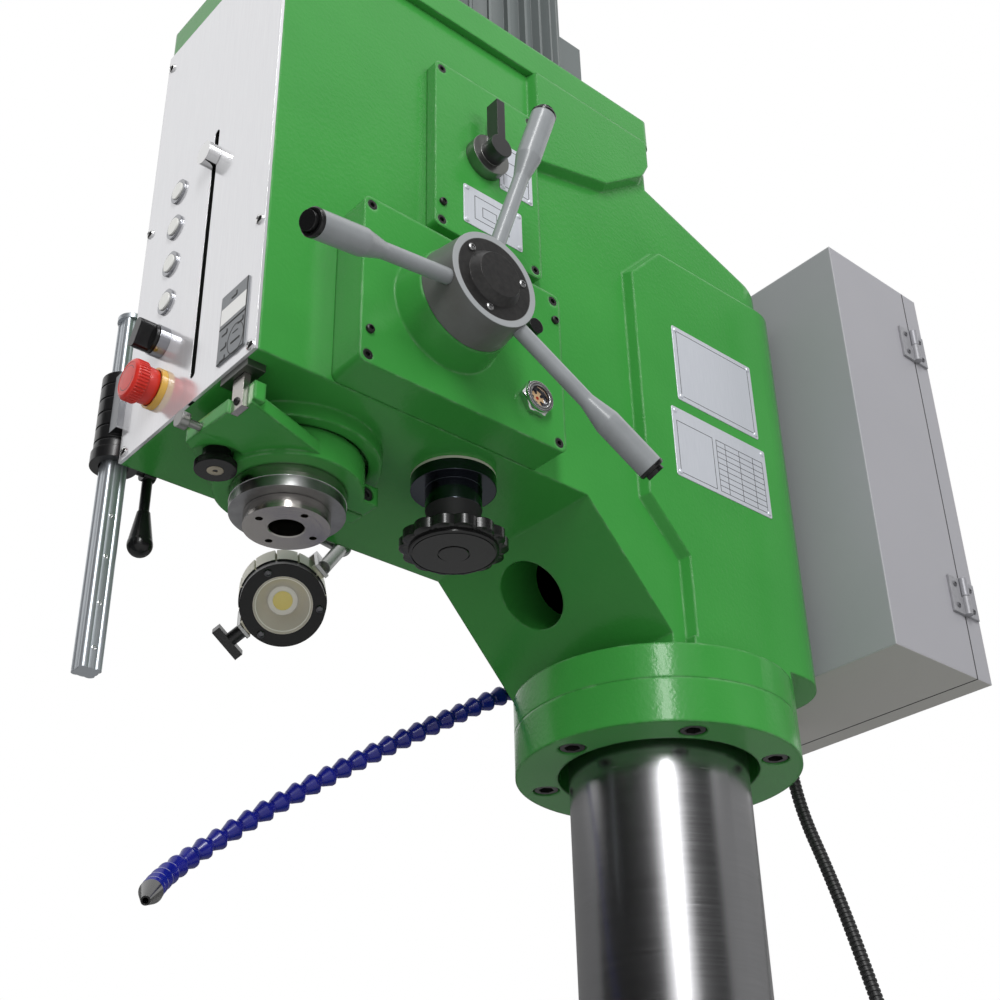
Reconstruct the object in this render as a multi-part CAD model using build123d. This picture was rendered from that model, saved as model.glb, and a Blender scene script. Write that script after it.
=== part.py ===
from build123d import *
from math import cos, hypot, pi, radians, sin, tan
import os

# Gear-driven pillar drill. +Z is up, the spindle side faces -Y, the feed levers are on +X.
# The origin is on the floor, on the axis of the column. All sizes are in millimetres.

os.makedirs("parts", exist_ok=True)

# Fits
ARC_SHARE = 0.45  # part of the shorter run that an arc of a cord takes up
RUN = 0.05  # radial room of a shaft that turns or slides in its bore
SEAT = 0.05  # radial room of a fixed piece in its hole
GAP = 0.3  # room between pieces that pass each other

# Base and column
BASE_HALF = 280.0
BASE_FRONT = -660.0
BASE_REAR = 260.0
BASE_H = 90.0
BASE_CORNER = 40.0
ANCHOR_R = 10.0
ANCHOR_EDGE = 34.0
CHANNEL_EDGE = 62.0
CHANNEL_W = 16.0
CHANNEL_D = 8.0
BASE_SLOT_X = 110.0
BASE_SLOT_END = -240.0
SLOT_NECK = 18.0
SLOT_HEAD = 30.0
SLOT_NECK_D = 20.0
SLOT_HEAD_D = 14.0
COLUMN_R = 90.0
COLUMN_WALL = 16.0
FOOT_FLANGE_W = 40.0
FOOT_WALL = 35.0
FOOT_FLANGE_T = 30.0
FOOT_H = 150.0

# Column ring and its socket screws
RING_Z = 1200.0  # underside of the ring above the floor
RING_T = 44.0
RING_GAP = 11.0
RING_W = 42.5
RING_SCREW_INSET = 25.5
SCREW_COUNT = 6
SCREW_R = 8.0
SCREW_HEAD_R = 12.0
SCREW_HEAD_H = 16.0
SCREW_LENGTH = 50.0
SCREW_SOCKET = 14.0
SCREW_SOCKET_D = 9.0
SCREW_SINK = 1.0
COUNTERBORE_R = 14.0

# Head casting
HEAD_HALF = 113.5
HEAD_WALL = 14.0
HEAD_FRONT = -560.0
HEAD_REAR = 138.0
HEAD_FLOOR = RING_Z + 203.0
HEAD_TOP = RING_Z + 720.0
FLANGE_T = 35.5
NECK_START = -192.0
NECK_FOOT = -88.0
NECK_FOOT_Z = RING_Z + 90.0
LIP_Z = RING_Z + 88.0
REAR_TOP = RING_Z + 586.0
SLOPE_TOP = RING_Z + 657.6
BLOCK_REAR = -70.0
REAR_RADIUS = 48.0
COLUMN_GRIP = 106.0  # length of column inside the casting
NECK_R = 132.0
NECK_TIP_R = 108.0
NECK_TIP_Z = RING_Z + 96.0
PAD_T = 12.0
PAD_TAPER = 22.0
PAD_FRONT = -120.5
PAD_FRONT_FOOT = RING_Z + 227.0
PAD_FRONT_TOP = RING_Z + 509.0
PAD_STEP_Y = -70.0
PAD_STEP_Z = RING_Z + 174.0
PAD_SHOULDER = -72.0
PAD_TOP = RING_Z + 561.0
BULGE_FRONT = -250.0
BULGE_FOOT = RING_Z + 583.0
BULGE_KNEE = (-144.0, RING_Z + 611.0)
BULGE_HEEL = (-82.0, RING_Z + 659.0)
BULGE_REAR_Z = RING_Z + 681.0
NECK_HOLE_R = 37.0
NECK_HOLE_X = -13.5
NECK_HOLE_Y = -152.0
NECK_HOLE_Z = RING_Z + 159.6
NECK_HOLE_PITCH = 33.2
NECK_HOLE_DEPTH = 112.0
DARK_SPACE_R = 80.0
EDGE_R = 5.0

# Spindle, quill and collar
SPINDLE_Y = -452.0
TRAVEL = 160.0
QUILL_R = 51.5
QUILL_END = RING_Z + 148.0
QUILL_TOP = RING_Z + 515.0
QUILL_BORE = 31.0
CAP_T = 10.5
CAP_BORE = 36.0
NOSE_R = 38.5
NOSE_T = 13.2
SHOULDER_R = 34.0
TAPER_R = 15.65
TAPER_DEPTH = 118.0
TAPER_RATIO = 0.0519
TAPER_CHAMFER = 1.0
NOSE_HOLES = 4
NOSE_HOLE_R = 3.4
NOSE_HOLE_PCD = 56.0
NOSE_HOLE_DEPTH = 9.0
LOW_BEARING_R = 44.0
LOW_BEARING_BORE = 30.0
LOW_BEARING_H = 34.0
TOP_BEARING_R = 40.0
TOP_BEARING_BORE = 25.0
TOP_BEARING_H = 28.0
SPINDLE_BODY_R = 27.0
DRIVE_SHAFT_R = 22.0
SPINDLE_TOP = RING_Z + 712.0
KEY_W = 10.0
KEY_PROUD = 4.0
KEY_FOOT = RING_Z + 530.0
BOSS_R = 74.0
BOSS_TOP = RING_Z + 480.0
RIM_W = 12.0
RIM_GAP = 3.0
RIM_DROP = 15.0
COLLAR_R = 67.0
COLLAR_FOOT = RING_Z + 159.6
COLLAR_T = 30.0
ARM_T = 17.0
ARM_RISE = 4.0
ARM_LEAD = 2.0  # the arm's front stands this far before the head
ARM_FRONT = HEAD_FRONT - ARM_LEAD
ARM_LEFT = 10.0
ARM_SKEW = 4.0  # the right end of the arm's front stands this much further back
ARM_ROOT_R = 65.0
ARM_ROOT_ANGLES = (-7.0, -160.0)
CHEEK_H = 8.0
CHEEK_W = 10.0
CHEEK_GRIP = 9.0
CHEEK_STEP = 1.5  # how far the cheek stands in front of the back of the depth bar
LUG_T = 19.0
LUG_X0 = -8.0
LUG_X1 = 31.0
LUG_PROUD = 8.0
LUG_SCREW_IN = 4.0
SLIT_X = 9.0
SLIT_W = 3.0
CLAMP_SCREW_R = 4.0
CLAMP_HEAD_R = 6.5
CLAMP_HEAD_H = 8.0
CLAMP_SINK = 9.0
CLAMP_ROOM_R = 7.3
CLAMP_LENGTH = 22.0

# Tooth form, in modules, and in shares of the pitch
TOOTH_DEDENDUM = 1.25
TOOTH_ADDENDUM = 0.9
TOOTH_ROOT_HALF = 0.30
TOOTH_TIP_HALF = 0.11
GAP_MOUTH_HALF = 0.40
GAP_FLOOR_HALF = 0.21
GAP_DEPTH = 2.25
SPARE_TEETH = 2

# Feed rack, pinion and drive gears
FEED_MODULE = 3.0
FEED_TEETH = 12
FEED_WIDTH = 30.0
FEED_SHAFT_R = 13.0
FEED_Z = RING_Z + 293.0
GEAR_MODULE = 4.0
SPINDLE_TEETH = 42
LAY_PINION_TEETH = 23
LAY_GEAR_TEETH = 34
MOTOR_TEETH = 16
GEAR_WIDTH = 28.0
GEAR_STEP = 42.0  # from one pair of gears to the pair above it
WEB_GAP = 7.0
WEB_T = 23.0
GEAR_ROOM = 3.0
WEB_REAR = -280.0
SLEEVE_R = 45.0
SLEEVE_HUB_R = 40.0
SLEEVE_HUB_H = 30.0
DRIVE_BEARING_R = 60.0
LAY_SHAFT_R = 14.0
MOTOR_SHAFT_R = 14.0

# Depth bar, its stop and the arm's knob
BAR_X0 = 71.0
BAR_W = 17.0
BAR_T = 6.5
BAR_BACK = ARM_FRONT + 12.5
BAR_LENGTH = 262.0
BAR_LIFT = 3.5  # lower end of the depth bar above the foot of the collar
BAR_ROOM = 4.0
THUMB_X = 31.3
THUMB_RISE = 9.0
THUMB_HEAD_R = 7.5
THUMB_HEAD_T = 8.0
THUMB_SHANK_R = 3.5
THUMB_PROUD = 12.0
THUMB_DEPTH = 20.0
KNOB_X = 3.0
KNOB_Y = ARM_FRONT + 34.0
KNOB_R = 18.0
KNOB_T = 7.0
KNOB_NECK_R = 12.5
KNOB_NECK_H = 11.7
KNOB_PIN_R = 5.0
KNOB_PIN_H = 9.0
KNOB_SEAT = 12.0  # roof of the knob's recess above the foot of the collar
KNOB_RECESS_R = 14.5
KNOB_ROOM_R = 24.0
KNOB_BOSS_R = 20.0
KNOB_BOSS_TOP = 27.0

# Top cover and motor
COVER_T = 40.0
COVER_PROUD = 8.0
COVER_HOLE_R = 52.0
COVER_CORNER = 10.0
MOTOR_FLANGE_R = 105.0
MOTOR_FLANGE_T = 15.0
MOTOR_R = 88.0
MOTOR_H = 235.0
FIN_COUNT = 28
FIN_H = 8.0
FIN_T = 3.0
COWL_R = 98.0
COWL_H = 60.0
COWL_EDGE = 14.0
TERMINAL_W = 96.0
TERMINAL_D = 48.0
TERMINAL_H = 90.0
TERMINAL_RISE = 60.0

# Front panel and what is on it
PANEL_T = 3.0
CONTROL_X = -54.0
BUTTON_Z = RING_Z + 351.0
BUTTON_PITCH = 45.4
BUTTON_COUNT = 4
BUTTON_R = 9.0
BUTTON_TRAVEL = 3.0
BEZEL_R = 13.0
BEZEL_T = 2.2
BUTTON_PROUD = 1.4
CONTROL_BODY_R = 11.0
CONTROL_DEPTH = 26.0
LOWER_X = -51.5  # selector and stop button stand a little to the right of the buttons
SELECTOR_Z = RING_Z + 302.0
SELECTOR_R = 15.0
SELECTOR_T = 10.5
SELECTOR_SHAFT_R = 7.0
HANDLE_R = 14.0
HANDLE_FOOT_T = 3.0
HANDLE_W = 13.0
HANDLE_PROUD = 15.0
HANDLE_TURN = 30.0
ESTOP_Z = RING_Z + 250.0
ESTOP_BASE_R = 19.5
ESTOP_BASE_T = 6.0
ESTOP_CUP_R = 17.4
ESTOP_CUP_D = 5.4
ESTOP_HEAD_R = 20.0
ESTOP_HEAD_T = 13.5
ESTOP_SKIRT_R = 17.0
ESTOP_SKIRT_T = 11.0
ESTOP_TRAVEL = 5.0
ESTOP_STEM_R = 7.0
WINDOW_X0 = -95.0
WINDOW_X1 = -20.0
WINDOW_Z0 = RING_Z + 226.0
WINDOW_Z1 = RING_Z + 516.0
STOP_SLOT_X = 11.3
STOP_SLOT_W = 8.0
STOP_SLOT_Z0 = RING_Z + 229.0
STOP_SLOT_Z1 = RING_Z + 520.0
STOP_Z = RING_Z + 484.0
STOP_R = 12.0
STOP_T = 12.0
STOP_NUT_W = 14.0
STOP_NUT_T = 5.0
STOP_POCKET_D = 9.0
READOUT_X0 = 55.0
READOUT_X1 = 97.5
READOUT_Z0 = RING_Z + 215.0
READOUT_Z1 = RING_Z + 287.5
READOUT_T = 1.6
READOUT_CORNER = 1.0
GUIDE_DROP = 7.0
GUIDE_DEPTH = 18.0
GUIDE_X0 = 57.0
GUIDE_X1 = 98.0

# Feed box, hub and levers on the right side
FEED_Y = -395.5
BOX_FRONT = -488.0
BOX_REAR = -256.0
BOX_FOOT = RING_Z + 203.5
BOX_TOP = RING_Z + 383.0
BOX_T = 40.0
BOX_WALL = 11.0
BOX_CORNER = 7.0
BOX_BOSS_R = 58.0
BOX_BOSS_TIP_R = 52.0
BOX_BOSS_T = 28.5
CASE_SCREW_R = 3.0
CASE_HEAD_R = 5.0
CASE_HEAD_H = 6.0
CASE_SCREW_GRIP = 9.0
CASE_SOCKET = 5.0
CASE_EDGE = 8.5
HUB_T = 36.5
HUB_R = 51.0
HUB_TIP_R = 46.5
HUB_CAP_R = 40.0
HUB_CAP_T = 3.0
CAP_DOME_R = 28.0
CAP_DOME_TIP_R = 22.0
CAP_DOME_T = 8.0
LEVER_COUNT = 3
LEVER_START = 77.4
LEVER_TILT = 11.0
LEVER_ROOT_X = 18.0
LEVER_INNER = 24.0
LEVER_LENGTH = 213.0
LEVER_R = 7.25
LEVER_ROD_END = 133.0
GRIP_START = 158.0
GRIP_R = 12.0
LEVER_SEAT_DEPTH = 24.0
LEVER_BUTTON_R = 8.4
LEVER_BUTTON_PROUD = 7.0
LEVER_BUTTON_SEAT = 17.0
LEVER_BUTTON_TRAVEL = 4.0
SIGHT_Y = -294.0
SIGHT_Z = RING_Z + 246.0
SIGHT_R = 15.5
SIGHT_T = 9.0
SIGHT_LENS_R = 10.5
PLUG_Y = -301.0
PLUG_Z = RING_Z + 319.0
PLUG_R = 8.0
PLUG_T = 15.0

# Gear plate and its dial
PLATE_FRONT = -389.0
PLATE_REAR = -253.0
PLATE_FOOT = RING_Z + 422.0
PLATE_TOP = RING_Z + 640.0
PLATE_T = 14.5
PLATE_CORNER = 6.0
DIAL_Y = -327.0
DIAL_Z = RING_Z + 537.0
DIAL_R = 23.0
DIAL_T = 12.0
DIAL_KNOB_R = 13.0
DIAL_KNOB_T = 16.0
DIAL_LEVER_W = 10.0
DIAL_LEVER_L = 62.0
DIAL_SHAFT_R = 8.0

# Fine feed knob under the head
FINE_X = 57.3
FINE_Y = -310.3
FINE_FLANGE_R = 40.0
FINE_FLANGE_T = 14.5
FINE_COLLAR_R = 26.4
FINE_COLLAR_T = 21.5
FINE_TIP_R = 21.0
FINE_TIP_T = 17.0
FINE_SHAFT_R = 9.0
FINE_SHAFT_RISE = 40.0
FINE_NECK_R = 17.0
FINE_NECK_T = 16.0
FINE_DISC_R = 44.0
FINE_DISC_T = 10.0
LOBE_COUNT = 12
LOBE_R = 8.5
LOBE_CENTRE = 39.5
DISH_R = 38.0
DISH_D = 3.0
DISH_HUB_R = 14.0

# Lamp on the left side
LAMP_STANDOFF = 36.5  # plane of the lamp's arm from the left side of the head
LAMP_X = -HEAD_HALF - LAMP_STANDOFF
LAMP_POINT = (LAMP_X, -357.0, RING_Z + 138.0)
LAMP_AIM = (0.644, -0.377, -0.666)
LAMP_AXLE = (0.759, 0.404, 0.509)
LAMP_RING_R = 42.0
LAMP_RING_T = 14.0
LAMP_BODY_R = 38.0
LAMP_BODY_L = 48.0
LAMP_TAIL_R = 31.0
LAMP_FINS = 12
LAMP_FIN_R = 43.5
LAMP_FIN_T = 20.5
LAMP_FIN_L = 40.0
LAMP_LENS_R = 29.5
LAMP_LENS_FOOT_R = 16.0
LAMP_LENS_D = 20.0
LAMP_PIVOT = 24.0
LAMP_PIN_R = 4.0
LAMP_BOSS_R = 8.0
STIRRUP_REACH = 47.0
STIRRUP_T = 4.0
STIRRUP_W = 16.0
STIRRUP_BACK = 44.0
LAMP_TUBE_R = 7.2
ELBOW_R = 10.0
ELBOW = (LAMP_X, -290.0, RING_Z + 226.0)
LAMP_ROOT = (LAMP_X, -385.0, RING_Z + 240.0)
LAMP_KNUCKLE_R = 13.0
LAMP_KNUCKLE_W = 24.0
LAMP_PLATE_W = 50.0
LAMP_PLATE_H = 42.0
LAMP_PLATE_T = 10.0
WING_R = 7.0
WING_L = 14.0
WING_SPAN = 18.0
WING_T = 9.0

# Guard bar on the left front edge
GUARD_STANDOFF = 27.5  # axis of the bar from the left side of the head
GUARD_SETBACK = 5.3  # axis of the bar behind the front of the head
GUARD_X = -HEAD_HALF - GUARD_STANDOFF
GUARD_Y = HEAD_FRONT + GUARD_SETBACK
GUARD_BAR_R = 10.5
GUARD_LOBE_R = 4.5
GUARD_LOBE_C = 8.8
GUARD_FOOT = RING_Z + 9.0
GUARD_TOP = RING_Z + 380.0
GUARD_CAP_T = 5.0
GUARD_CAP_R = 14.0
SLEEVE_FOOT = RING_Z + 215.0
GUARD_SLEEVE_H = 95.0
GUARD_SLEEVE_T = 6.8
GROOVE_PITCH = 15.5
GROOVE_W = 2.0
GROOVE_D = 1.2
SLEEVE_FLANGE_R = 22.0
SLEEVE_FLANGE_T = 12.0
BRACKET_H = 63.0
BRACKET_W = 30.0
BRACKET_DROP = 7.0  # top of the bracket under the top of the sleeve
BRACKET_LEFT = 3.0  # left side of the bracket from the axis of the bar
GUARD_STUD_R = 4.0
GUARD_STUD_L = 19.5
GUARD_STUD_SINK = 4.0
GUARD_YOKE_R = 8.0
GUARD_YOKE_W = 12.0
GUARD_ROD_R = 5.0
GUARD_ROD_L = 41.5
GUARD_KNOB_R = 12.0
GUARD_KNOB_TOP_R = 6.3
GUARD_KNOB_L = 46.0

# Cabinet behind the head
CABINET_HALF = 201.0
CABINET_FOOT = RING_Z + 115.0
CABINET_TOP = RING_Z + 635.0
CABINET_DEPTH = 142.0
CABINET_WALL = 3.0
DOOR_T = 26.0
DOOR_SEAM = 0.6
HINGE_Z = (RING_Z + 211.0, RING_Z + 552.0)
HINGE_H = 44.0
HINGE_OFFSET = 5.0
HINGE_KNUCKLE_R = 4.6
HINGE_PIN_R = 2.5
HINGE_LEAF_W = 18.0
HINGE_LEAF_T = 3.0
LOCK_R = 11.0
LOCK_T = 6.0
LOCK_Z = RING_Z + 375.0
LOCK_EDGE = 30.0

# Conduit from the cabinet to the coolant pump
GLAND_X = -12.0
GLAND_Y = 230.0
GLAND_R = 12.0
GLAND_L = 23.0
CONDUIT_R = 7.0
CONDUIT_GROOVE_R = 5.9
CONDUIT_BORE = 4.6
CONDUIT_RIBS = 190
PUMP_INSET = 75.0  # axis of the pump from the right side of the base
PUMP_X = BASE_HALF - PUMP_INSET
PUMP_Y = 180.0
PUMP_R = 48.0
PUMP_H = 150.0
PUMP_FLANGE_R = 62.0
PUMP_FLANGE_T = 10.0
PUMP_CAP_R = 51.0
PUMP_CAP_T = 22.0

# Coolant hose and its bracket on the left of the neck
HOSE_R = 10.5
HOSE_SHOULDER_R = 9.0
HOSE_SKIRT_R = 9.5
HOSE_NECK_R = 7.0
HOSE_BORE = 4.5
HOSE_PITCH = 17.5
HOSE_BLOCK_W = 34.0
HOSE_BLOCK_H = 36.0
HOSE_STANDOFF = 20.5  # start of the hose from the left side pad
NIPPLE_L = 16.0
NIPPLE_R = 9.0
NOZZLE_L = 42.0
NOZZLE_TIP_R = 4.0
NOZZLE_BORE = 2.5

# Table, its arm and rack
TABLE_HALF = 230.0
TABLE_TOP = 700.0
TABLE_T = 59.7
TABLE_CORNER = 18.0
TABLE_SLOT_X = 90.0
SPIGOT_R = 45.0
SPIGOT_L = 92.0
ARM_COLLAR_R = 116.0
ARM_COLLAR_FOOT = 480.0
ARM_COLLAR_H = 150.0
TABLE_ARM_HALF = 55.0
TABLE_ARM_H = 100.0
TABLE_BOSS_R = 80.0
TABLE_BOSS_H = 140.0
RACK_MODULE = 3.0
RACK_TEETH = 67
CRANK_TEETH = 16
RACK_W = 22.0
RACK_T = 17.0
RACK_FOOT_GAP = 5.0
RACK_RING_W = 20.0
RACK_RING_T = 20.0
CRANK_Z = 545.0
CRANK_WIDTH = 20.0
CRANK_SHAFT_R = 9.0
HOUSING_FRONT = -124.0
HOUSING_REAR = 34.0
HOUSING_HALF_Z = 36.0
HOUSING_WALL = 12.0
CRANK_ARM_L = 58.0
CRANK_ARM_T = 12.0
CRANK_HUB_R = 16.0
CRANK_ARM_HALF = 10.0
CRANK_GRIP_R = 9.5
CRANK_GRIP_L = 70.0

# Values that follow from those above
SCREW_TURN = 360.0 / SCREW_COUNT
RING_HOLE_R = COLUMN_R + RING_GAP
RING_R = RING_HOLE_R + RING_W
RING_PITCH_R = RING_R - RING_SCREW_INSET
FLANGE_FOOT = RING_Z + RING_T
FLANGE_TOP = FLANGE_FOOT + FLANGE_T
COLUMN_TOP = FLANGE_FOOT + COLUMN_GRIP
FOOT_R = COLUMN_R + FOOT_WALL
FOOT_FLANGE_R = FOOT_R + FOOT_FLANGE_W
FOOT_PITCH_R = FOOT_R + FOOT_FLANGE_W / 2
FOOT_TOP = BASE_H + FOOT_H
SCREW_DEPTH = SCREW_HEAD_H + SCREW_SINK
INNER_HALF = HEAD_HALF - HEAD_WALL
PAD_X = HEAD_HALF + PAD_T
PAD_REAR = HEAD_REAR + PAD_T
PANEL_FACE = HEAD_FRONT - PANEL_T
FEED_OFFSET = FEED_Y - SPINDLE_Y
FEED_PITCH_R = FEED_MODULE * FEED_TEETH / 2
RACK_LINE = FEED_OFFSET - FEED_PITCH_R
QUILL_FLAT = RACK_LINE + FEED_MODULE
WEB_FOOT = QUILL_TOP + WEB_GAP
WEB_TOP = WEB_FOOT + WEB_T
GEAR_FOOT = WEB_TOP + GEAR_ROOM
UPPER_GEAR_FOOT = GEAR_FOOT + GEAR_STEP
LAY_Y = SPINDLE_Y + GEAR_MODULE * (SPINDLE_TEETH + LAY_PINION_TEETH) / 2
MOTOR_Y = LAY_Y + GEAR_MODULE * (LAY_GEAR_TEETH + MOTOR_TEETH) / 2
COVER_TOP = HEAD_TOP + COVER_T
MOTOR_FOOT = COVER_TOP + MOTOR_FLANGE_T
MOTOR_TOP = MOTOR_FOOT + MOTOR_H
NOSE_FACE = QUILL_END - CAP_T - GAP - NOSE_T
BOX_FACE = HEAD_HALF + BOX_T
HUB_FOOT = BOX_FACE + BOX_BOSS_T + GAP
HUB_FACE = HUB_FOOT + HUB_T
LEVER_X = HUB_FOOT + LEVER_ROOT_X
PLATE_FACE = HEAD_HALF + PLATE_T
ARM_TOP = COLLAR_FOOT + ARM_T
HINGE_X = CABINET_HALF + HINGE_OFFSET
CABINET_REAR = PAD_REAR + CABINET_DEPTH
DOOR_FACE = CABINET_REAR + DOOR_SEAM
PUMP_TOP = BASE_H + PUMP_FLANGE_T + PUMP_H + PUMP_CAP_T
TABLE_FOOT = TABLE_TOP - TABLE_T
RACK_FACE = COLUMN_R + GAP + RACK_T
CRANK_X = RACK_FACE - RACK_MODULE + RACK_MODULE * CRANK_TEETH / 2
RACK_FOOT = FOOT_TOP + RACK_FOOT_GAP
RACK_LENGTH = RACK_TEETH * pi * RACK_MODULE
HOUSING_X = CRANK_X + RACK_MODULE * (CRANK_TEETH / 2 + 1) + HOUSING_WALL

# Routes chosen by hand, heights from the ring
CONDUIT_ROUTE = [
    (GLAND_X, GLAND_Y, RING_Z + 92),
    (GLAND_X, GLAND_Y, RING_Z + 34),
    (29, 229, RING_Z - 82),
    (72, 224, RING_Z - 236),
    (117, 215, RING_Z - 400),
    (160, 203, RING_Z - 565),
    (190, 190, RING_Z - 690),
    (204, 181.5, RING_Z - 785),
    (PUMP_X, PUMP_Y, PUMP_TOP + GLAND_L + 64),
    (PUMP_X, PUMP_Y, PUMP_TOP + GLAND_L),
]
HOSE_ROUTE = [
    (-PAD_X - HOSE_STANDOFF, -4, RING_Z + 155),
    (-150, -58, RING_Z + 129),
    (-166, -140, RING_Z + 79),
    (-187, -222, RING_Z + 27),
    (-208, -296, RING_Z - 25),
    (-224, -356, RING_Z - 71),
    (-222, -404, RING_Z - 110),
    (-195, -440, RING_Z - 140),
    (-160, -463, RING_Z - 160),
]


def span_x(radius, x0, x1, y, z):
    """Cylinder along X from x0 to x1."""
    rod = Cylinder(radius, x1 - x0, align=(Align.CENTER, Align.CENTER, Align.MIN))
    return Pos(x0, y, z) * Rot(0, 90, 0) * rod


def span_y(radius, y0, y1, x, z):
    """Cylinder along Y from y0 to y1."""
    rod = Cylinder(radius, y1 - y0, align=(Align.CENTER, Align.CENTER, Align.MIN))
    return Pos(x, y0, z) * Rot(-90, 0, 0) * rod


def span_z(radius, z0, z1, x=0.0, y=0.0):
    """Cylinder along Z from z0 to z1."""
    rod = Cylinder(radius, z1 - z0, align=(Align.CENTER, Align.CENTER, Align.MIN))
    return Pos(x, y, z0) * rod


def cone_z(r0, r1, z0, z1, x=0.0, y=0.0):
    """Cone along Z, of radius r0 at z0 and r1 at z1."""
    return Pos(x, y, z0) * Cone(r0, r1, z1 - z0, align=(Align.CENTER, Align.CENTER, Align.MIN))


def cone_x(r0, r1, x0, x1, y, z):
    """Cone along X, of radius r0 at x0 and r1 at x1."""
    cone = Cone(r0, r1, x1 - x0, align=(Align.CENTER, Align.CENTER, Align.MIN))
    return Pos(x0, y, z) * Rot(0, 90, 0) * cone


def block(x0, x1, y0, y1, z0, z1):
    """Box between two corners."""
    return Pos((x0 + x1) / 2, (y0 + y1) / 2, (z0 + z1) / 2) * Box(x1 - x0, y1 - y0, z1 - z0)


def plate_x(x0, x1, y0, y1, z0, z1, corner):
    """Plate in the YZ plane with rounded corners, from x0 to x1."""
    outline = RectangleRounded(y1 - y0, z1 - z0, corner)
    middle = (x0, (y0 + y1) / 2, (z0 + z1) / 2)
    return extrude(Plane(middle, (0, 1, 0), (1, 0, 0)) * outline, x1 - x0)


def plate_y(x0, x1, y0, y1, z0, z1, corner):
    """Plate in the XZ plane with rounded corners, from y0 to y1."""
    outline = RectangleRounded(x1 - x0, z1 - z0, corner)
    middle = ((x0 + x1) / 2, y1, (z0 + z1) / 2)
    return extrude(Plane(middle, (1, 0, 0), (0, -1, 0)) * outline, y1 - y0)


def plate_z(x0, x1, y0, y1, z0, z1, corner):
    """Plate in the XY plane with rounded corners, from z0 to z1."""
    outline = RectangleRounded(x1 - x0, y1 - y0, corner)
    return extrude(Pos((x0 + x1) / 2, (y0 + y1) / 2, z0) * outline, z1 - z0)


def profile_x(points, x0, x1, taper=0.0):
    """Outline of (y, z) points carried along X from x0 to x1, drawn in by the taper angle."""
    face = Plane((x0, 0, 0), (0, 1, 0), (1, 0, 0)) * Polygon(*points, align=None)
    return extrude(face, amount=x1 - x0, taper=taper)


def profile_z(points, z0, z1):
    """Outline of (x, y) points carried along Z from z0 to z1."""
    return extrude(Pos(0, 0, z0) * Polygon(*points, align=None), amount=z1 - z0)


def gear_outline(module, teeth, phase):
    """Outline of straight-flanked teeth, one of them at the phase angle."""
    root = module * (teeth / 2 - TOOTH_DEDENDUM)
    tip = module * (teeth / 2 + TOOTH_ADDENDUM)
    turn = 360.0 / teeth
    flank = [(root, -TOOTH_ROOT_HALF), (tip, -TOOTH_TIP_HALF)]
    corners = flank + [(radius, -share) for radius, share in reversed(flank)]
    points = []
    for tooth in range(teeth):
        for radius, share in corners:
            angle = radians(phase + turn * (tooth + share))
            points.append((radius * cos(angle), radius * sin(angle)))
    return Polygon(*points, align=None)


def rack_gap(module):
    """Outline of one gap of a rack, its mouth on the tip line and its depth along -X."""
    pitch = pi * module
    mouth = GAP_MOUTH_HALF * pitch
    floor = GAP_FLOOR_HALF * pitch
    depth = GAP_DEPTH * module
    outside = [(module, -mouth), (module, mouth), (0, mouth)]
    inside = [(-depth, floor), (-depth, -floor), (0, -mouth)]
    return Polygon(*outside, *inside, align=None)


def around(count, radius, start=0.0):
    """Points on a circle about the origin, with their angles."""
    turn = 360.0 / count
    angles = [start + turn * k for k in range(count)]
    return [(radius * cos(radians(a)), radius * sin(radians(a)), a) for a in angles]


def socket_screw(radius, head_r, head_h, length, socket, socket_d):
    """Socket screw along Z, the underside of its head at 0 and its head above."""
    screw = span_z(head_r, 0, head_h) + span_z(radius, -length, 0)
    hexagon = RegularPolygon(socket / 2, 6, major_radius=False)
    return screw - extrude(Pos(0, 0, head_h - socket_d) * hexagon, socket_d)


def bent_path(points):
    """Straight runs joined by arcs as large as the runs allow, with the least radius."""
    corners = [Vector(*p) for p in points]
    radii = []
    for before, here, after in zip(corners, corners[1:], corners[2:]):
        half_turn = radians((here - before).get_angle(after - here)) / 2
        shorter = min((here - before).length, (after - here).length)
        radii.append(ARC_SHARE * shorter / tan(half_turn))
    return FilletPolyline(*corners, radius=radii), radii


def ribbed_tube(path, count, shape, bore, steady):
    """Tube along the path: each rib is a ruled loft through its four circles."""
    start = [(k + share) / count for k in range(count) for share, radius in shape]
    radii = [radius for k in range(count) for share, radius in shape]
    stations = start + [1.0]
    radii = radii + [shape[0][1]]

    def plane_at(station):
        return Plane(path.position_at(station), steady, path.tangent_at(station))

    outside = loft([plane_at(s) * Circle(r) for s, r in zip(stations, radii)], ruled=True)
    inside = sweep(plane_at(0) * Circle(bore), path=path)
    return outside - inside


def save(name, *shapes):
    """Writes the solids of one sub-part."""
    solids = [solid for shape in shapes for solid in shape.solids()]
    export_step(solids[0] if len(solids) == 1 else Compound(solids), f"parts/{name}.step")


# Base plate: cast slab with two T-slots, a coolant channel and four anchor holes
def t_slots(offset, y0, y1, top):
    """Two T-slots along Y at equal distances from the middle."""
    slots = []
    for x in (-offset, offset):
        neck = block(x - SLOT_NECK / 2, x + SLOT_NECK / 2, y0, y1, top - SLOT_NECK_D, top)
        head_top = top - SLOT_NECK_D
        head = block(x - SLOT_HEAD / 2, x + SLOT_HEAD / 2, y0, y1, head_top - SLOT_HEAD_D, head_top)
        slots.append(neck + head)
    return slots


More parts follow.
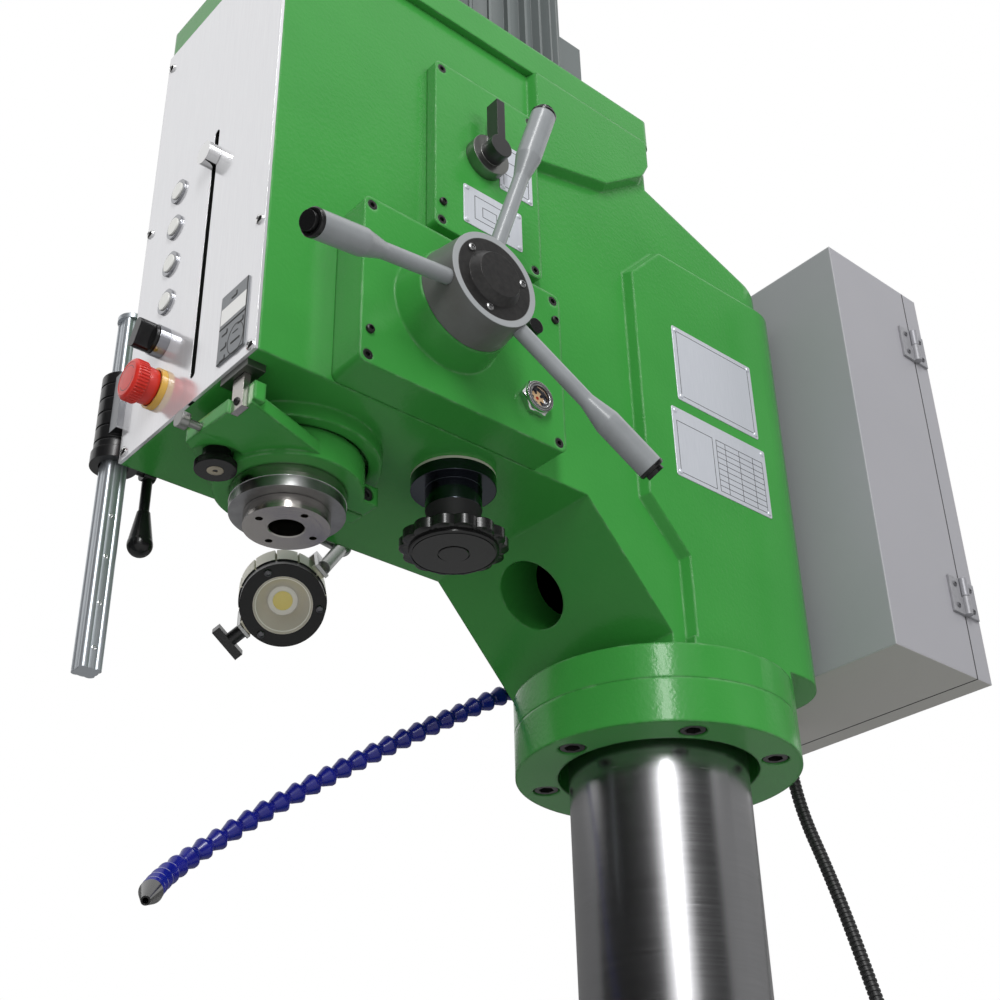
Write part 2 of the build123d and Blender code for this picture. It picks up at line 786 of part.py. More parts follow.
def base_plate():
    plate = plate_z(-BASE_HALF, BASE_HALF, BASE_FRONT, BASE_REAR, 0, BASE_H, BASE_CORNER)
    outer = BASE_HALF - CHANNEL_EDGE
    front = BASE_FRONT + CHANNEL_EDGE
    floor = BASE_H - CHANNEL_D
    channel = block(-outer, outer, front, BASE_SLOT_END + CHANNEL_W, floor, BASE_H)
    inner = outer - CHANNEL_W
    channel -= block(-inner, inner, front + CHANNEL_W, BASE_SLOT_END, floor, BASE_H)
    plate -= channel
    for slot in t_slots(BASE_SLOT_X, BASE_FRONT, BASE_SLOT_END, BASE_H):
        plate -= slot
    for x in (-1, 1):
        for y in (BASE_FRONT + ANCHOR_EDGE, BASE_REAR - ANCHOR_EDGE):
            plate -= span_z(ANCHOR_R, 0, BASE_H, x * (BASE_HALF - ANCHOR_EDGE), y)
    tapped = BASE_H + FOOT_FLANGE_T - SCREW_DEPTH - SCREW_LENGTH
    for x, y, angle in around(SCREW_COUNT, FOOT_PITCH_R, SCREW_TURN / 2):
        plate -= span_z(SCREW_R + SEAT, tapped, BASE_H, x, y)
    return plate


save("base_plate", base_plate())


# Column foot: flange and boss that hold the tube
def column_foot():
    foot = span_z(FOOT_FLANGE_R, BASE_H, BASE_H + FOOT_FLANGE_T)
    foot += span_z(FOOT_R, BASE_H, FOOT_TOP)
    foot -= span_z(COLUMN_R + SEAT, BASE_H, FOOT_TOP)
    seat = BASE_H + FOOT_FLANGE_T - SCREW_DEPTH
    for x, y, angle in around(SCREW_COUNT, FOOT_PITCH_R, SCREW_TURN / 2):
        foot -= span_z(COUNTERBORE_R, seat, BASE_H + FOOT_FLANGE_T, x, y)
        foot -= span_z(SCREW_R + SEAT, BASE_H, seat, x, y)
    return foot


save("column_foot", column_foot())
tube = span_z(COLUMN_R, BASE_H, COLUMN_TOP) - span_z(COLUMN_R - COLUMN_WALL, BASE_H, COLUMN_TOP)
save("column_tube", tube)


# Ring under the head, screwed up into the casting's flange
def clamp_ring():
    ring = span_z(RING_R, RING_Z, FLANGE_FOOT) - span_z(RING_HOLE_R, RING_Z, FLANGE_FOOT)
    for x, y, angle in around(SCREW_COUNT, RING_PITCH_R, SCREW_TURN / 2):
        ring -= span_z(COUNTERBORE_R, RING_Z, RING_Z + SCREW_DEPTH, x, y)
        ring -= span_z(SCREW_R + SEAT, RING_Z, FLANGE_FOOT, x, y)
    return ring


save("clamp_ring", clamp_ring())


# Socket screws: six up through the ring and six down through the foot
def column_screws():
    head = (SCREW_HEAD_R, SCREW_HEAD_H)
    screw = socket_screw(SCREW_R, *head, SCREW_LENGTH, SCREW_SOCKET, SCREW_SOCKET_D)
    screws = []
    for x, y, angle in around(SCREW_COUNT, RING_PITCH_R, SCREW_TURN / 2):
        screws.append(Pos(x, y, RING_Z + SCREW_DEPTH) * Rot(180, 0, 0) * screw)
    for x, y, angle in around(SCREW_COUNT, FOOT_PITCH_R, SCREW_TURN / 2):
        screws.append(Pos(x, y, BASE_H + FOOT_FLANGE_T - SCREW_DEPTH) * screw)
    return screws


# Places of the small socket screws on the feed box and the gear plate
BOX_SCREWS = [
    (y, z)
    for y in (BOX_FRONT + CASE_EDGE, BOX_REAR - CASE_EDGE)
    for z in (BOX_FOOT + CASE_EDGE, BOX_TOP - CASE_EDGE)
]
PLATE_SCREWS = [
    (y, z)
    for y in (PLATE_FRONT + CASE_EDGE, PLATE_REAR - CASE_EDGE)
    for z in (PLATE_FOOT + CASE_EDGE, PLATE_TOP - CASE_EDGE)
]


# Head casting: hollow box over the spindle, with the neck that grips the column
def side_pads(points, plan):
    """Raised pads of the outline on both sides, joined through the casting and cut to the plan."""
    pads = profile_x(points, -HEAD_HALF, HEAD_HALF)
    right = profile_x(points, HEAD_HALF, PAD_X, PAD_TAPER)
    return (pads + right + mirror(right, Plane.YZ)) & plan


def head_outside():
    side = [
        (HEAD_FRONT, HEAD_FLOOR),
        (NECK_START, HEAD_FLOOR),
        (NECK_FOOT, NECK_FOOT_Z),
        (NECK_FOOT, LIP_Z),
        (HEAD_REAR, LIP_Z),
        (HEAD_REAR, REAR_TOP),
        (BLOCK_REAR, SLOPE_TOP),
        (BLOCK_REAR, HEAD_TOP),
        (HEAD_FRONT, HEAD_TOP),
    ]
    body = profile_x(side, -HEAD_HALF, HEAD_HALF)
    rear_edges = body.edges().filter_by(Axis.Z).group_by(Axis.Y)[-1]
    body = fillet(rear_edges, REAR_RADIUS)
    pad = [
        (PAD_FRONT, PAD_FRONT_FOOT),
        (PAD_STEP_Y, PAD_STEP_Z),
        (PAD_STEP_Y, LIP_Z - PAD_T),
        (PAD_REAR + PAD_T, LIP_Z - PAD_T),
        (PAD_REAR + PAD_T, PAD_TOP),
        (PAD_SHOULDER, PAD_TOP),
        (PAD_FRONT, PAD_FRONT_TOP),
    ]
    plan = block(-PAD_X, PAD_X, PAD_FRONT, PAD_REAR, LIP_Z, PAD_TOP)
    plan = fillet(plan.edges().filter_by(Axis.Z).group_by(Axis.Y)[-1], REAR_RADIUS + PAD_T)
    body += side_pads(pad, plan)
    bulge = [
        (BULGE_FRONT, BULGE_FOOT),
        BULGE_KNEE,
        BULGE_HEEL,
        (BLOCK_REAR, BULGE_REAR_Z),
        (BLOCK_REAR, HEAD_TOP + PAD_T),
        (BULGE_FRONT, HEAD_TOP + PAD_T),
    ]
    upper = block(-PAD_X, PAD_X, BULGE_FRONT, BLOCK_REAR, BULGE_FOOT, HEAD_TOP)
    body += side_pads(bulge, upper)
    body += span_z(RING_R, FLANGE_FOOT, FLANGE_TOP)
    body += cone_z(NECK_R, NECK_TIP_R, FLANGE_TOP, NECK_TIP_Z)
    foot = block(-HEAD_HALF, HEAD_HALF, NECK_FOOT, HEAD_REAR, FLANGE_TOP, LIP_Z)
    foot += block(-PAD_X, PAD_X, PAD_STEP_Y, PAD_REAR, FLANGE_TOP, LIP_Z)
    body += foot & span_z(RING_R, FLANGE_TOP, LIP_Z)
    rim = COLLAR_R + RIM_GAP
    body += span_z(rim + RIM_W, HEAD_FLOOR - RIM_DROP, HEAD_FLOOR, 0, SPINDLE_Y)
    body -= span_z(rim, HEAD_FLOOR - RIM_DROP, HEAD_FLOOR, 0, SPINDLE_Y)
    return body


def head_inside():
    """Space inside the casting, less the boss that guides the quill and the web above it."""
    floor = HEAD_FLOOR + HEAD_WALL
    run = HEAD_REAR - BLOCK_REAR
    slope_wall = HEAD_WALL * hypot(run, SLOPE_TOP - REAR_TOP) / run
    side = [
        (HEAD_FRONT + HEAD_WALL, floor),
        (HEAD_REAR - HEAD_WALL, floor),
        (HEAD_REAR - HEAD_WALL, REAR_TOP - slope_wall),
        (BLOCK_REAR - HEAD_WALL, SLOPE_TOP - slope_wall),
        (BLOCK_REAR - HEAD_WALL, HEAD_TOP),
        (HEAD_FRONT + HEAD_WALL, HEAD_TOP),
    ]
    space = profile_x(side, -INNER_HALF, INNER_HALF)
    space -= span_z(BOSS_R, floor, BOSS_TOP, 0, SPINDLE_Y)
    space -= block(-INNER_HALF, INNER_HALF, HEAD_FRONT + HEAD_WALL, WEB_REAR, WEB_FOOT, WEB_TOP)
    return space


def head_casting():
    body = head_outside() - head_inside()
    body -= span_z(QUILL_R + RUN, HEAD_FLOOR - RIM_DROP, BOSS_TOP, 0, SPINDLE_Y)
    body -= span_z(DRIVE_BEARING_R + SEAT, WEB_FOOT, WEB_TOP, 0, SPINDLE_Y)
    body -= span_z(LAY_SHAFT_R + RUN, WEB_FOOT + PANEL_T, WEB_TOP, 0, LAY_Y)
    body -= span_z(COLUMN_R + SEAT, FLANGE_FOOT, COLUMN_TOP)
    body -= span_z(DARK_SPACE_R, COLUMN_TOP, HEAD_FLOOR + HEAD_WALL)
    inward = (0, cos(radians(NECK_HOLE_PITCH)), sin(radians(NECK_HOLE_PITCH)))
    hole = Plane((NECK_HOLE_X, NECK_HOLE_Y, NECK_HOLE_Z), (1, 0, 0), inward)
    body -= hole * span_z(NECK_HOLE_R, -2 * NECK_HOLE_R, NECK_HOLE_DEPTH)
    for x, y, angle in around(SCREW_COUNT, RING_PITCH_R, SCREW_TURN / 2):
        depth = SCREW_DEPTH + SCREW_LENGTH - RING_T
        body -= span_z(SCREW_R + SEAT, FLANGE_FOOT, FLANGE_FOOT + depth, x, y)
    pinion_tip = FEED_MODULE * (FEED_TEETH / 2 + 1) + GAP * 4
    body -= span_x(pinion_tip, -INNER_HALF, INNER_HALF, FEED_Y, FEED_Z)
    body -= span_x(FEED_SHAFT_R + RUN, -INNER_HALF - HEAD_WALL / 2, HEAD_HALF, FEED_Y, FEED_Z)
    body -= span_z(FINE_SHAFT_R + RUN, HEAD_FLOOR, HEAD_FLOOR + HEAD_WALL, FINE_X, FINE_Y)
    body -= span_x(DIAL_SHAFT_R + RUN, INNER_HALF, HEAD_HALF, DIAL_Y, DIAL_Z)
    body -= block(WINDOW_X0, WINDOW_X1, HEAD_FRONT, HEAD_FRONT + HEAD_WALL, WINDOW_Z0, WINDOW_Z1)
    nut_half = STOP_NUT_W / 2 + GAP
    pocket = (STOP_SLOT_X - nut_half, STOP_SLOT_X + nut_half, HEAD_FRONT, HEAD_FRONT + STOP_POCKET_D)
    body -= block(*pocket, STOP_SLOT_Z0 - nut_half, STOP_SLOT_Z1 + nut_half)
    bar = (BAR_X0 - BAR_ROOM, BAR_X0 + BAR_W + BAR_ROOM, HEAD_FRONT, HEAD_FRONT + HEAD_WALL)
    body -= block(*bar, HEAD_FLOOR, COLLAR_FOOT + BAR_LENGTH + BAR_ROOM)
    for y, z in BOX_SCREWS + PLATE_SCREWS:
        body -= span_x(CASE_SCREW_R + SEAT, HEAD_HALF - CASE_SCREW_GRIP, HEAD_HALF, y, z)
    return body


save("head_casting", head_casting())


# Top cover: lid of the gear chamber and seat of the motor
def top_cover():
    half = HEAD_HALF + COVER_PROUD
    rear = BLOCK_REAR + COVER_PROUD
    cover = plate_z(-half, half, HEAD_FRONT, rear, HEAD_TOP, COVER_TOP, COVER_CORNER)
    cover -= span_z(COVER_HOLE_R, HEAD_TOP, COVER_TOP, 0, MOTOR_Y)
    cover -= span_z(LAY_SHAFT_R + RUN, HEAD_TOP, HEAD_TOP + COVER_T / 2, 0, LAY_Y)
    return cover


save("top_cover", top_cover())


# Motor: flanged body with cooling fins, fan cowl and terminal box
def motor_body():
    body = span_z(MOTOR_FLANGE_R, COVER_TOP, MOTOR_FOOT, 0, MOTOR_Y)
    body += span_z(MOTOR_R, MOTOR_FOOT, MOTOR_TOP, 0, MOTOR_Y)
    fins = []
    for x, y, angle in around(FIN_COUNT, MOTOR_R + FIN_H / 2, 180.0 / FIN_COUNT):
        fin = Box(FIN_H * 2, FIN_T, MOTOR_H, align=(Align.CENTER, Align.CENTER, Align.MIN))
        fins.append(Pos(x, y + MOTOR_Y, MOTOR_FOOT) * Rot(0, 0, angle) * fin)
    body += fins
    box_foot = MOTOR_FOOT + TERMINAL_RISE
    box_front = MOTOR_Y + MOTOR_R - FIN_H
    half = TERMINAL_W / 2
    body += block(-half, half, box_front, box_front + TERMINAL_D, box_foot, box_foot + TERMINAL_H)
    body -= span_z(MOTOR_SHAFT_R + RUN, COVER_TOP, MOTOR_FOOT + MOTOR_FLANGE_T, 0, MOTOR_Y)
    cowl = span_z(COWL_R, MOTOR_TOP, MOTOR_TOP + COWL_H, 0, MOTOR_Y)
    cowl = chamfer(cowl.edges().group_by(Axis.Z)[-1], COWL_EDGE)
    return [body, cowl]


save("motor_body", *motor_body())


# Gears above the quill: spindle gear on its sleeve, lay shaft, motor shaft
def gear_at(y, foot, teeth, phase):
    """Gear of the drive module at the height foot on the vertical axis at y."""
    return extrude(Pos(0, y, foot) * gear_outline(GEAR_MODULE, teeth, phase), GEAR_WIDTH)


def spindle_gear():
    gear_top = GEAR_FOOT + GEAR_WIDTH
    sleeve = span_z(SLEEVE_R, WEB_FOOT, GEAR_FOOT, 0, SPINDLE_Y)
    sleeve += gear_at(SPINDLE_Y, GEAR_FOOT, SPINDLE_TEETH, 0)
    sleeve += span_z(SLEEVE_HUB_R, gear_top, gear_top + SLEEVE_HUB_H, 0, SPINDLE_Y)
    top = gear_top + SLEEVE_HUB_H
    sleeve -= span_z(DRIVE_SHAFT_R + RUN, WEB_FOOT, top, 0, SPINDLE_Y)
    reach = DRIVE_SHAFT_R + KEY_PROUD + GAP
    half = KEY_W / 2 + RUN
    return sleeve - block(0, reach, SPINDLE_Y - half, SPINDLE_Y + half, WEB_FOOT, top)


def lay_shaft():
    shaft = span_z(LAY_SHAFT_R, WEB_FOOT + PANEL_T + GAP, HEAD_TOP + COVER_T / 2 - GAP, 0, LAY_Y)
    shaft += gear_at(LAY_Y, GEAR_FOOT, LAY_PINION_TEETH, 270)
    return shaft + gear_at(LAY_Y, UPPER_GEAR_FOOT, LAY_GEAR_TEETH, 90)


def motor_shaft():
    shaft = span_z(MOTOR_SHAFT_R, UPPER_GEAR_FOOT, MOTOR_FOOT + MOTOR_FLANGE_T - GAP, 0, MOTOR_Y)
    return shaft + gear_at(MOTOR_Y, UPPER_GEAR_FOOT, MOTOR_TEETH, 270 + 180 / MOTOR_TEETH)


save("spindle_gear", spindle_gear())
save("lay_shaft", lay_shaft())
save("motor_shaft", motor_shaft())
bearing = span_z(DRIVE_BEARING_R, WEB_FOOT, WEB_TOP, 0, SPINDLE_Y)
save("drive_bearing", bearing - span_z(SLEEVE_R + RUN, WEB_FOOT, WEB_TOP, 0, SPINDLE_Y))


# Quill: ground sleeve with a rack milled into a flat on its rear
def quill():
    tube = span_z(QUILL_R, QUILL_END, QUILL_TOP, 0, SPINDLE_Y)
    tube -= span_z(QUILL_BORE, QUILL_END, QUILL_TOP, 0, SPINDLE_Y)
    tube -= span_z(LOW_BEARING_R + SEAT, QUILL_END, QUILL_END + LOW_BEARING_H, 0, SPINDLE_Y)
    tube -= span_z(TOP_BEARING_R + SEAT, QUILL_TOP - TOP_BEARING_H, QUILL_TOP, 0, SPINDLE_Y)
    pitch = pi * FEED_MODULE
    low = FEED_Z - (SPARE_TEETH + 0.5) * pitch
    count = int(TRAVEL / pitch) + 3 * SPARE_TEETH
    high = low + count * pitch
    flat_y = SPINDLE_Y + QUILL_FLAT
    tube -= block(-QUILL_R, QUILL_R, flat_y, flat_y + QUILL_R, low, high)
    gap = Plane((-FEED_WIDTH / 2 - GAP, flat_y, FEED_Z), (0, 1, 0), (1, 0, 0)) * rack_gap(FEED_MODULE)
    steps = range(-SPARE_TEETH, count - SPARE_TEETH)
    return tube - [Pos(0, 0, pitch * k) * extrude(gap, FEED_WIDTH + 2 * GAP) for k in steps]


save("quill", quill())


# Spindle and its two bearings
def spindle():
    shoulder_top = QUILL_END + GAP
    nose_top = NOSE_FACE + NOSE_T
    shaft = span_z(NOSE_R, NOSE_FACE, nose_top, 0, SPINDLE_Y)
    shaft += span_z(SHOULDER_R, nose_top, shoulder_top, 0, SPINDLE_Y)
    shaft += span_z(LOW_BEARING_BORE, shoulder_top, QUILL_END + LOW_BEARING_H, 0, SPINDLE_Y)
    shaft += span_z(SPINDLE_BODY_R, QUILL_END + LOW_BEARING_H, QUILL_TOP - TOP_BEARING_H, 0, SPINDLE_Y)
    shaft += span_z(TOP_BEARING_BORE, QUILL_TOP - TOP_BEARING_H, QUILL_TOP, 0, SPINDLE_Y)
    shaft += span_z(DRIVE_SHAFT_R, QUILL_TOP, SPINDLE_TOP, 0, SPINDLE_Y)
    half = KEY_W / 2
    shaft += block(0, DRIVE_SHAFT_R + KEY_PROUD, SPINDLE_Y - half, SPINDLE_Y + half, KEY_FOOT, SPINDLE_TOP)
    end_r = TAPER_R - TAPER_DEPTH * TAPER_RATIO / 2
    shaft -= cone_z(TAPER_R, end_r, NOSE_FACE, NOSE_FACE + TAPER_DEPTH, 0, SPINDLE_Y)
    shaft -= cone_z(TAPER_R + TAPER_CHAMFER, TAPER_R, NOSE_FACE, NOSE_FACE + TAPER_CHAMFER, 0, SPINDLE_Y)
    for x, y, angle in around(NOSE_HOLES, NOSE_HOLE_PCD / 2):
        shaft -= span_z(NOSE_HOLE_R, NOSE_FACE, NOSE_FACE + NOSE_HOLE_DEPTH, x, SPINDLE_Y + y)
    return shaft


save("spindle", spindle())


def quill_bearings():
    """Lower and upper spindle bearings and the cap that closes the quill."""
    cap = span_z(QUILL_R, QUILL_END - CAP_T, QUILL_END, 0, SPINDLE_Y)
    cap -= span_z(CAP_BORE, QUILL_END - CAP_T, QUILL_END, 0, SPINDLE_Y)
    low = span_z(LOW_BEARING_R, QUILL_END + 2 * GAP, QUILL_END + LOW_BEARING_H, 0, SPINDLE_Y)
    low -= span_z(LOW_BEARING_BORE + RUN, QUILL_END, QUILL_END + LOW_BEARING_H, 0, SPINDLE_Y)
    top = span_z(TOP_BEARING_R, QUILL_TOP - TOP_BEARING_H, QUILL_TOP - GAP, 0, SPINDLE_Y)
    top -= span_z(TOP_BEARING_BORE + RUN, QUILL_TOP - TOP_BEARING_H, QUILL_TOP, 0, SPINDLE_Y)
    return [low, top, cap]


save("quill_bearings", *quill_bearings())


# Quill collar: split ring with a lug and an arm that carries the depth bar
def quill_collar():
    collar = span_z(COLLAR_R, COLLAR_FOOT, COLLAR_FOOT + COLLAR_T, 0, SPINDLE_Y)
    bar_end = BAR_X0 + BAR_W
    outer = bar_end + RUN + CHEEK_W
    arm = [(ARM_LEFT, ARM_FRONT), (outer, ARM_FRONT + ARM_SKEW)]
    for angle in ARM_ROOT_ANGLES:
        root_y = SPINDLE_Y + ARM_ROOT_R * sin(radians(angle))
        arm.append((ARM_ROOT_R * cos(radians(angle)), root_y))
    collar += profile_z(arm, COLLAR_FOOT + ARM_RISE, ARM_TOP)
    knob_seat = COLLAR_FOOT + KNOB_SEAT
    collar += span_z(KNOB_BOSS_R, COLLAR_FOOT + ARM_RISE, COLLAR_FOOT + KNOB_BOSS_TOP, KNOB_X, KNOB_Y)
    collar -= span_z(KNOB_RECESS_R, COLLAR_FOOT, knob_seat, KNOB_X, KNOB_Y)
    room = span_z(KNOB_ROOM_R, COLLAR_FOOT, knob_seat, KNOB_X, KNOB_Y)
    collar -= room - span_z(COLLAR_R, COLLAR_FOOT, knob_seat, 0, SPINDLE_Y)
    cheek_front = BAR_BACK - CHEEK_STEP
    cheek_back = BAR_BACK + CHEEK_GRIP
    cheek_foot = ARM_TOP - CHEEK_W
    collar += block(bar_end + RUN, outer, cheek_front, cheek_back, cheek_foot, ARM_TOP + CHEEK_H)
    lug_back = SPINDLE_Y + COLLAR_R + LUG_PROUD
    lug_top = COLLAR_FOOT + LUG_T
    collar += block(LUG_X0, LUG_X1, SPINDLE_Y + QUILL_R, lug_back, COLLAR_FOOT, lug_top)
    collar -= span_z(QUILL_R + SEAT, COLLAR_FOOT, COLLAR_FOOT + COLLAR_T, 0, SPINDLE_Y)
    slit = (SLIT_X - SLIT_W / 2, SLIT_X + SLIT_W / 2)
    collar -= block(*slit, SPINDLE_Y, lug_back, COLLAR_FOOT, COLLAR_FOOT + COLLAR_T)
    notch = (BAR_X0 - RUN, bar_end + RUN)
    collar -= block(*notch, ARM_FRONT, BAR_BACK, COLLAR_FOOT, ARM_TOP)
    collar -= block(notch[0], outer + RUN, ARM_FRONT, cheek_front, COLLAR_FOOT, ARM_TOP)
    screw_y = SPINDLE_Y + COLLAR_R - LUG_SCREW_IN
    screw_z = COLLAR_FOOT + LUG_T / 2
    screw_end = LUG_X1 - CLAMP_SINK - CLAMP_LENGTH - GAP
    collar -= span_x(CLAMP_SCREW_R + SEAT, screw_end, LUG_X1, screw_y, screw_z)
    collar -= span_x(CLAMP_ROOM_R, LUG_X1 - CLAMP_SINK, LUG_X1, screw_y, screw_z)
    collar -= span_z(KNOB_PIN_R + RUN, knob_seat, knob_seat + KNOB_PIN_H + GAP, KNOB_X, KNOB_Y)
    thumb_z = COLLAR_FOOT + THUMB_RISE
    collar -= span_y(THUMB_SHANK_R + SEAT, ARM_FRONT, ARM_FRONT + THUMB_DEPTH, THUMB_X, thumb_z)
    return collar


save("quill_collar", quill_collar())


def collar_screws():
    """Thumb bolt in the arm's front and socket screw through the split lug."""
    thumb_z = COLLAR_FOOT + THUMB_RISE
    head_back = ARM_FRONT - THUMB_PROUD
    bolt = span_y(THUMB_HEAD_R, head_back - THUMB_HEAD_T, head_back, THUMB_X, thumb_z)
    bolt += span_y(THUMB_SHANK_R, head_back, ARM_FRONT + THUMB_DEPTH, THUMB_X, thumb_z)
    head = (CLAMP_HEAD_R, CLAMP_HEAD_H)
    screw = socket_screw(CLAMP_SCREW_R, *head, CLAMP_LENGTH, CLAMP_HEAD_R, CLAMP_HEAD_H / 2)
    screw_y = SPINDLE_Y + COLLAR_R - LUG_SCREW_IN
    clamp = Pos(LUG_X1 - CLAMP_SINK, screw_y, COLLAR_FOOT + LUG_T / 2) * Rot(0, 90, 0) * screw
    return [bolt, clamp]


save("collar_screws", *collar_screws())
bar_top = COLLAR_FOOT + BAR_LENGTH
save("depth_bar", block(BAR_X0, BAR_X0 + BAR_W, BAR_BACK - BAR_T, BAR_BACK, COLLAR_FOOT + BAR_LIFT, bar_top))


# Knurled knob under the arm
def depth_knob():
    neck_top = COLLAR_FOOT + KNOB_SEAT - GAP
    neck_foot = neck_top - KNOB_NECK_H
    knob = span_z(KNOB_R, neck_foot - KNOB_T, neck_foot, KNOB_X, KNOB_Y)
    knob += span_z(KNOB_NECK_R, neck_foot, neck_top, KNOB_X, KNOB_Y)
    return knob + span_z(KNOB_PIN_R, neck_top, neck_top + KNOB_PIN_H, KNOB_X, KNOB_Y)


save("depth_knob", depth_knob())


BUTTON_PLACES = [(CONTROL_X, BUTTON_Z + BUTTON_PITCH * k) for k in range(BUTTON_COUNT)]


# Front panel: metal sheet with holes for the controls and a slot for the depth stop
def front_panel():
    panel = block(-HEAD_HALF, HEAD_HALF, PANEL_FACE, HEAD_FRONT, HEAD_FLOOR, HEAD_TOP)
    for x, z in BUTTON_PLACES + [(LOWER_X, SELECTOR_Z), (LOWER_X, ESTOP_Z)]:
        panel -= span_y(CONTROL_BODY_R + SEAT, PANEL_FACE, HEAD_FRONT, x, z)
    half = STOP_SLOT_W / 2
    sides = (STOP_SLOT_X - half, STOP_SLOT_X + half)
    slot = plate_y(*sides, PANEL_FACE, HEAD_FRONT, STOP_SLOT_Z0, STOP_SLOT_Z1, half - RUN)
    return panel - slot


save("front_panel", front_panel())


def bezel(radius, depth, bore, x, z):
    """Ring on the panel with a sleeve through it, bored for the control."""
    ring = span_y(radius, PANEL_FACE - depth, PANEL_FACE, x, z)
    ring += span_y(CONTROL_BODY_R, PANEL_FACE, PANEL_FACE + CONTROL_DEPTH, x, z)
    return ring - span_y(bore, PANEL_FACE - depth, PANEL_FACE + CONTROL_DEPTH, x, z)


bezels = [bezel(BEZEL_R, BEZEL_T, BUTTON_R + GAP, x, z) for x, z in BUTTON_PLACES]
bezels.append(bezel(SELECTOR_R, SELECTOR_T, SELECTOR_SHAFT_R + RUN, LOWER_X, SELECTOR_Z))
estop_base = bezel(ESTOP_BASE_R, ESTOP_BASE_T, ESTOP_STEM_R + GAP, LOWER_X, ESTOP_Z)
cup_mouth = PANEL_FACE - ESTOP_BASE_T
bezels.append(estop_base - span_y(ESTOP_CUP_R, cup_mouth, cup_mouth + ESTOP_CUP_D, LOWER_X, ESTOP_Z))
save("control_bezels", *bezels)

for number, (x, z) in enumerate(BUTTON_PLACES, 1):
    button_face = PANEL_FACE - BEZEL_T - BUTTON_PROUD
    button_back = PANEL_FACE + CONTROL_DEPTH - BUTTON_TRAVEL
    save(f"push_button_{number}", span_y(BUTTON_R, button_face, button_back, x, z))


def mode_selector():
    """Handle of the selector, standing on the bezel."""
    back = PANEL_FACE - SELECTOR_T - GAP
    foot = back - HANDLE_FOOT_T
    handle = span_y(HANDLE_R, foot, back, LOWER_X, SELECTOR_Z)
    half = HANDLE_W / 2
    grip = plate_y(-half, half, foot - HANDLE_PROUD, foot, -HANDLE_R, HANDLE_R, EDGE_R)
    handle += Pos(LOWER_X, 0, SELECTOR_Z) * Rot(0, HANDLE_TURN, 0) * grip
    return handle + span_y(SELECTOR_SHAFT_R, back, PANEL_FACE + CONTROL_DEPTH, LOWER_X, SELECTOR_Z)


save("mode_selector", mode_selector())


def estop_head():
    """Mushroom head whose skirt goes into the base's cup when it is pressed, and its stem."""
    skirt_back = PANEL_FACE - ESTOP_BASE_T - GAP
    head_back = skirt_back - ESTOP_SKIRT_T
    head = span_y(ESTOP_HEAD_R, head_back - ESTOP_HEAD_T, head_back, LOWER_X, ESTOP_Z)
    head = fillet(head.edges().group_by(Axis.Y)[0], EDGE_R)
    head += span_y(ESTOP_SKIRT_R, head_back, skirt_back, LOWER_X, ESTOP_Z)
    stem_back = PANEL_FACE + CONTROL_DEPTH - ESTOP_TRAVEL
    return head + span_y(ESTOP_STEM_R, skirt_back, stem_back, LOWER_X, ESTOP_Z)


save("estop_head", estop_head())


# Depth stop: knob in front of the slot with a nut behind the panel
def depth_stop():
    knob = span_y(STOP_R, PANEL_FACE - GAP - STOP_T, PANEL_FACE - GAP, STOP_SLOT_X, STOP_Z)
    neck_half = STOP_SLOT_W / 2 - GAP
    knob += span_y(neck_half, PANEL_FACE - GAP, HEAD_FRONT + GAP, STOP_SLOT_X, STOP_Z)
    half = STOP_NUT_W / 2
    nut_front = HEAD_FRONT + GAP
    sides = (STOP_SLOT_X - half, STOP_SLOT_X + half)
    return knob + block(*sides, nut_front, nut_front + STOP_NUT_T, STOP_Z - half, STOP_Z + half)


save("depth_stop", depth_stop())


# Readout on the panel and the guide plate under it that the depth bar passes through
def readout():
    depth = (PANEL_FACE - READOUT_T, PANEL_FACE)
    case = plate_y(READOUT_X0, READOUT_X1, *depth, READOUT_Z0, READOUT_Z1, READOUT_CORNER)
    foot = HEAD_FLOOR - GUIDE_DROP
    guide = block(GUIDE_X0, GUIDE_X1, HEAD_FRONT, HEAD_FRONT + GUIDE_DEPTH, foot, HEAD_FLOOR)
    bar_front = BAR_BACK - BAR_T - GAP
    bar_room = block(BAR_X0 - GAP, BAR_X0 + BAR_W + GAP, bar_front, BAR_BACK + GAP, foot, HEAD_FLOOR)
    return [case, guide - bar_room]


save("readout", *readout())


# Feed box: cover on the right side with the boss that carries the feed shaft
def feed_box():
    box = plate_x(HEAD_HALF, BOX_FACE, BOX_FRONT, BOX_REAR, BOX_FOOT, BOX_TOP, BOX_CORNER)
    wall = 2 * CASE_EDGE
    inside = (BOX_FRONT + wall, BOX_REAR - wall, BOX_FOOT + wall, BOX_TOP - wall)
    box -= block(HEAD_HALF, BOX_FACE - BOX_WALL, *inside)
    box += cone_x(BOX_BOSS_R, BOX_BOSS_TIP_R, BOX_FACE, BOX_FACE + BOX_BOSS_T, FEED_Y, FEED_Z)
    box -= span_x(FEED_SHAFT_R + RUN, HEAD_HALF, BOX_FACE + BOX_BOSS_T, FEED_Y, FEED_Z)
    for y, z in BOX_SCREWS:
        box -= span_x(CASE_SCREW_R + SEAT, HEAD_HALF, BOX_FACE, y, z)
        box -= span_x(CASE_HEAD_R + SEAT, BOX_FACE - CASE_HEAD_H, BOX_FACE, y, z)
    return box


save("feed_box", feed_box())


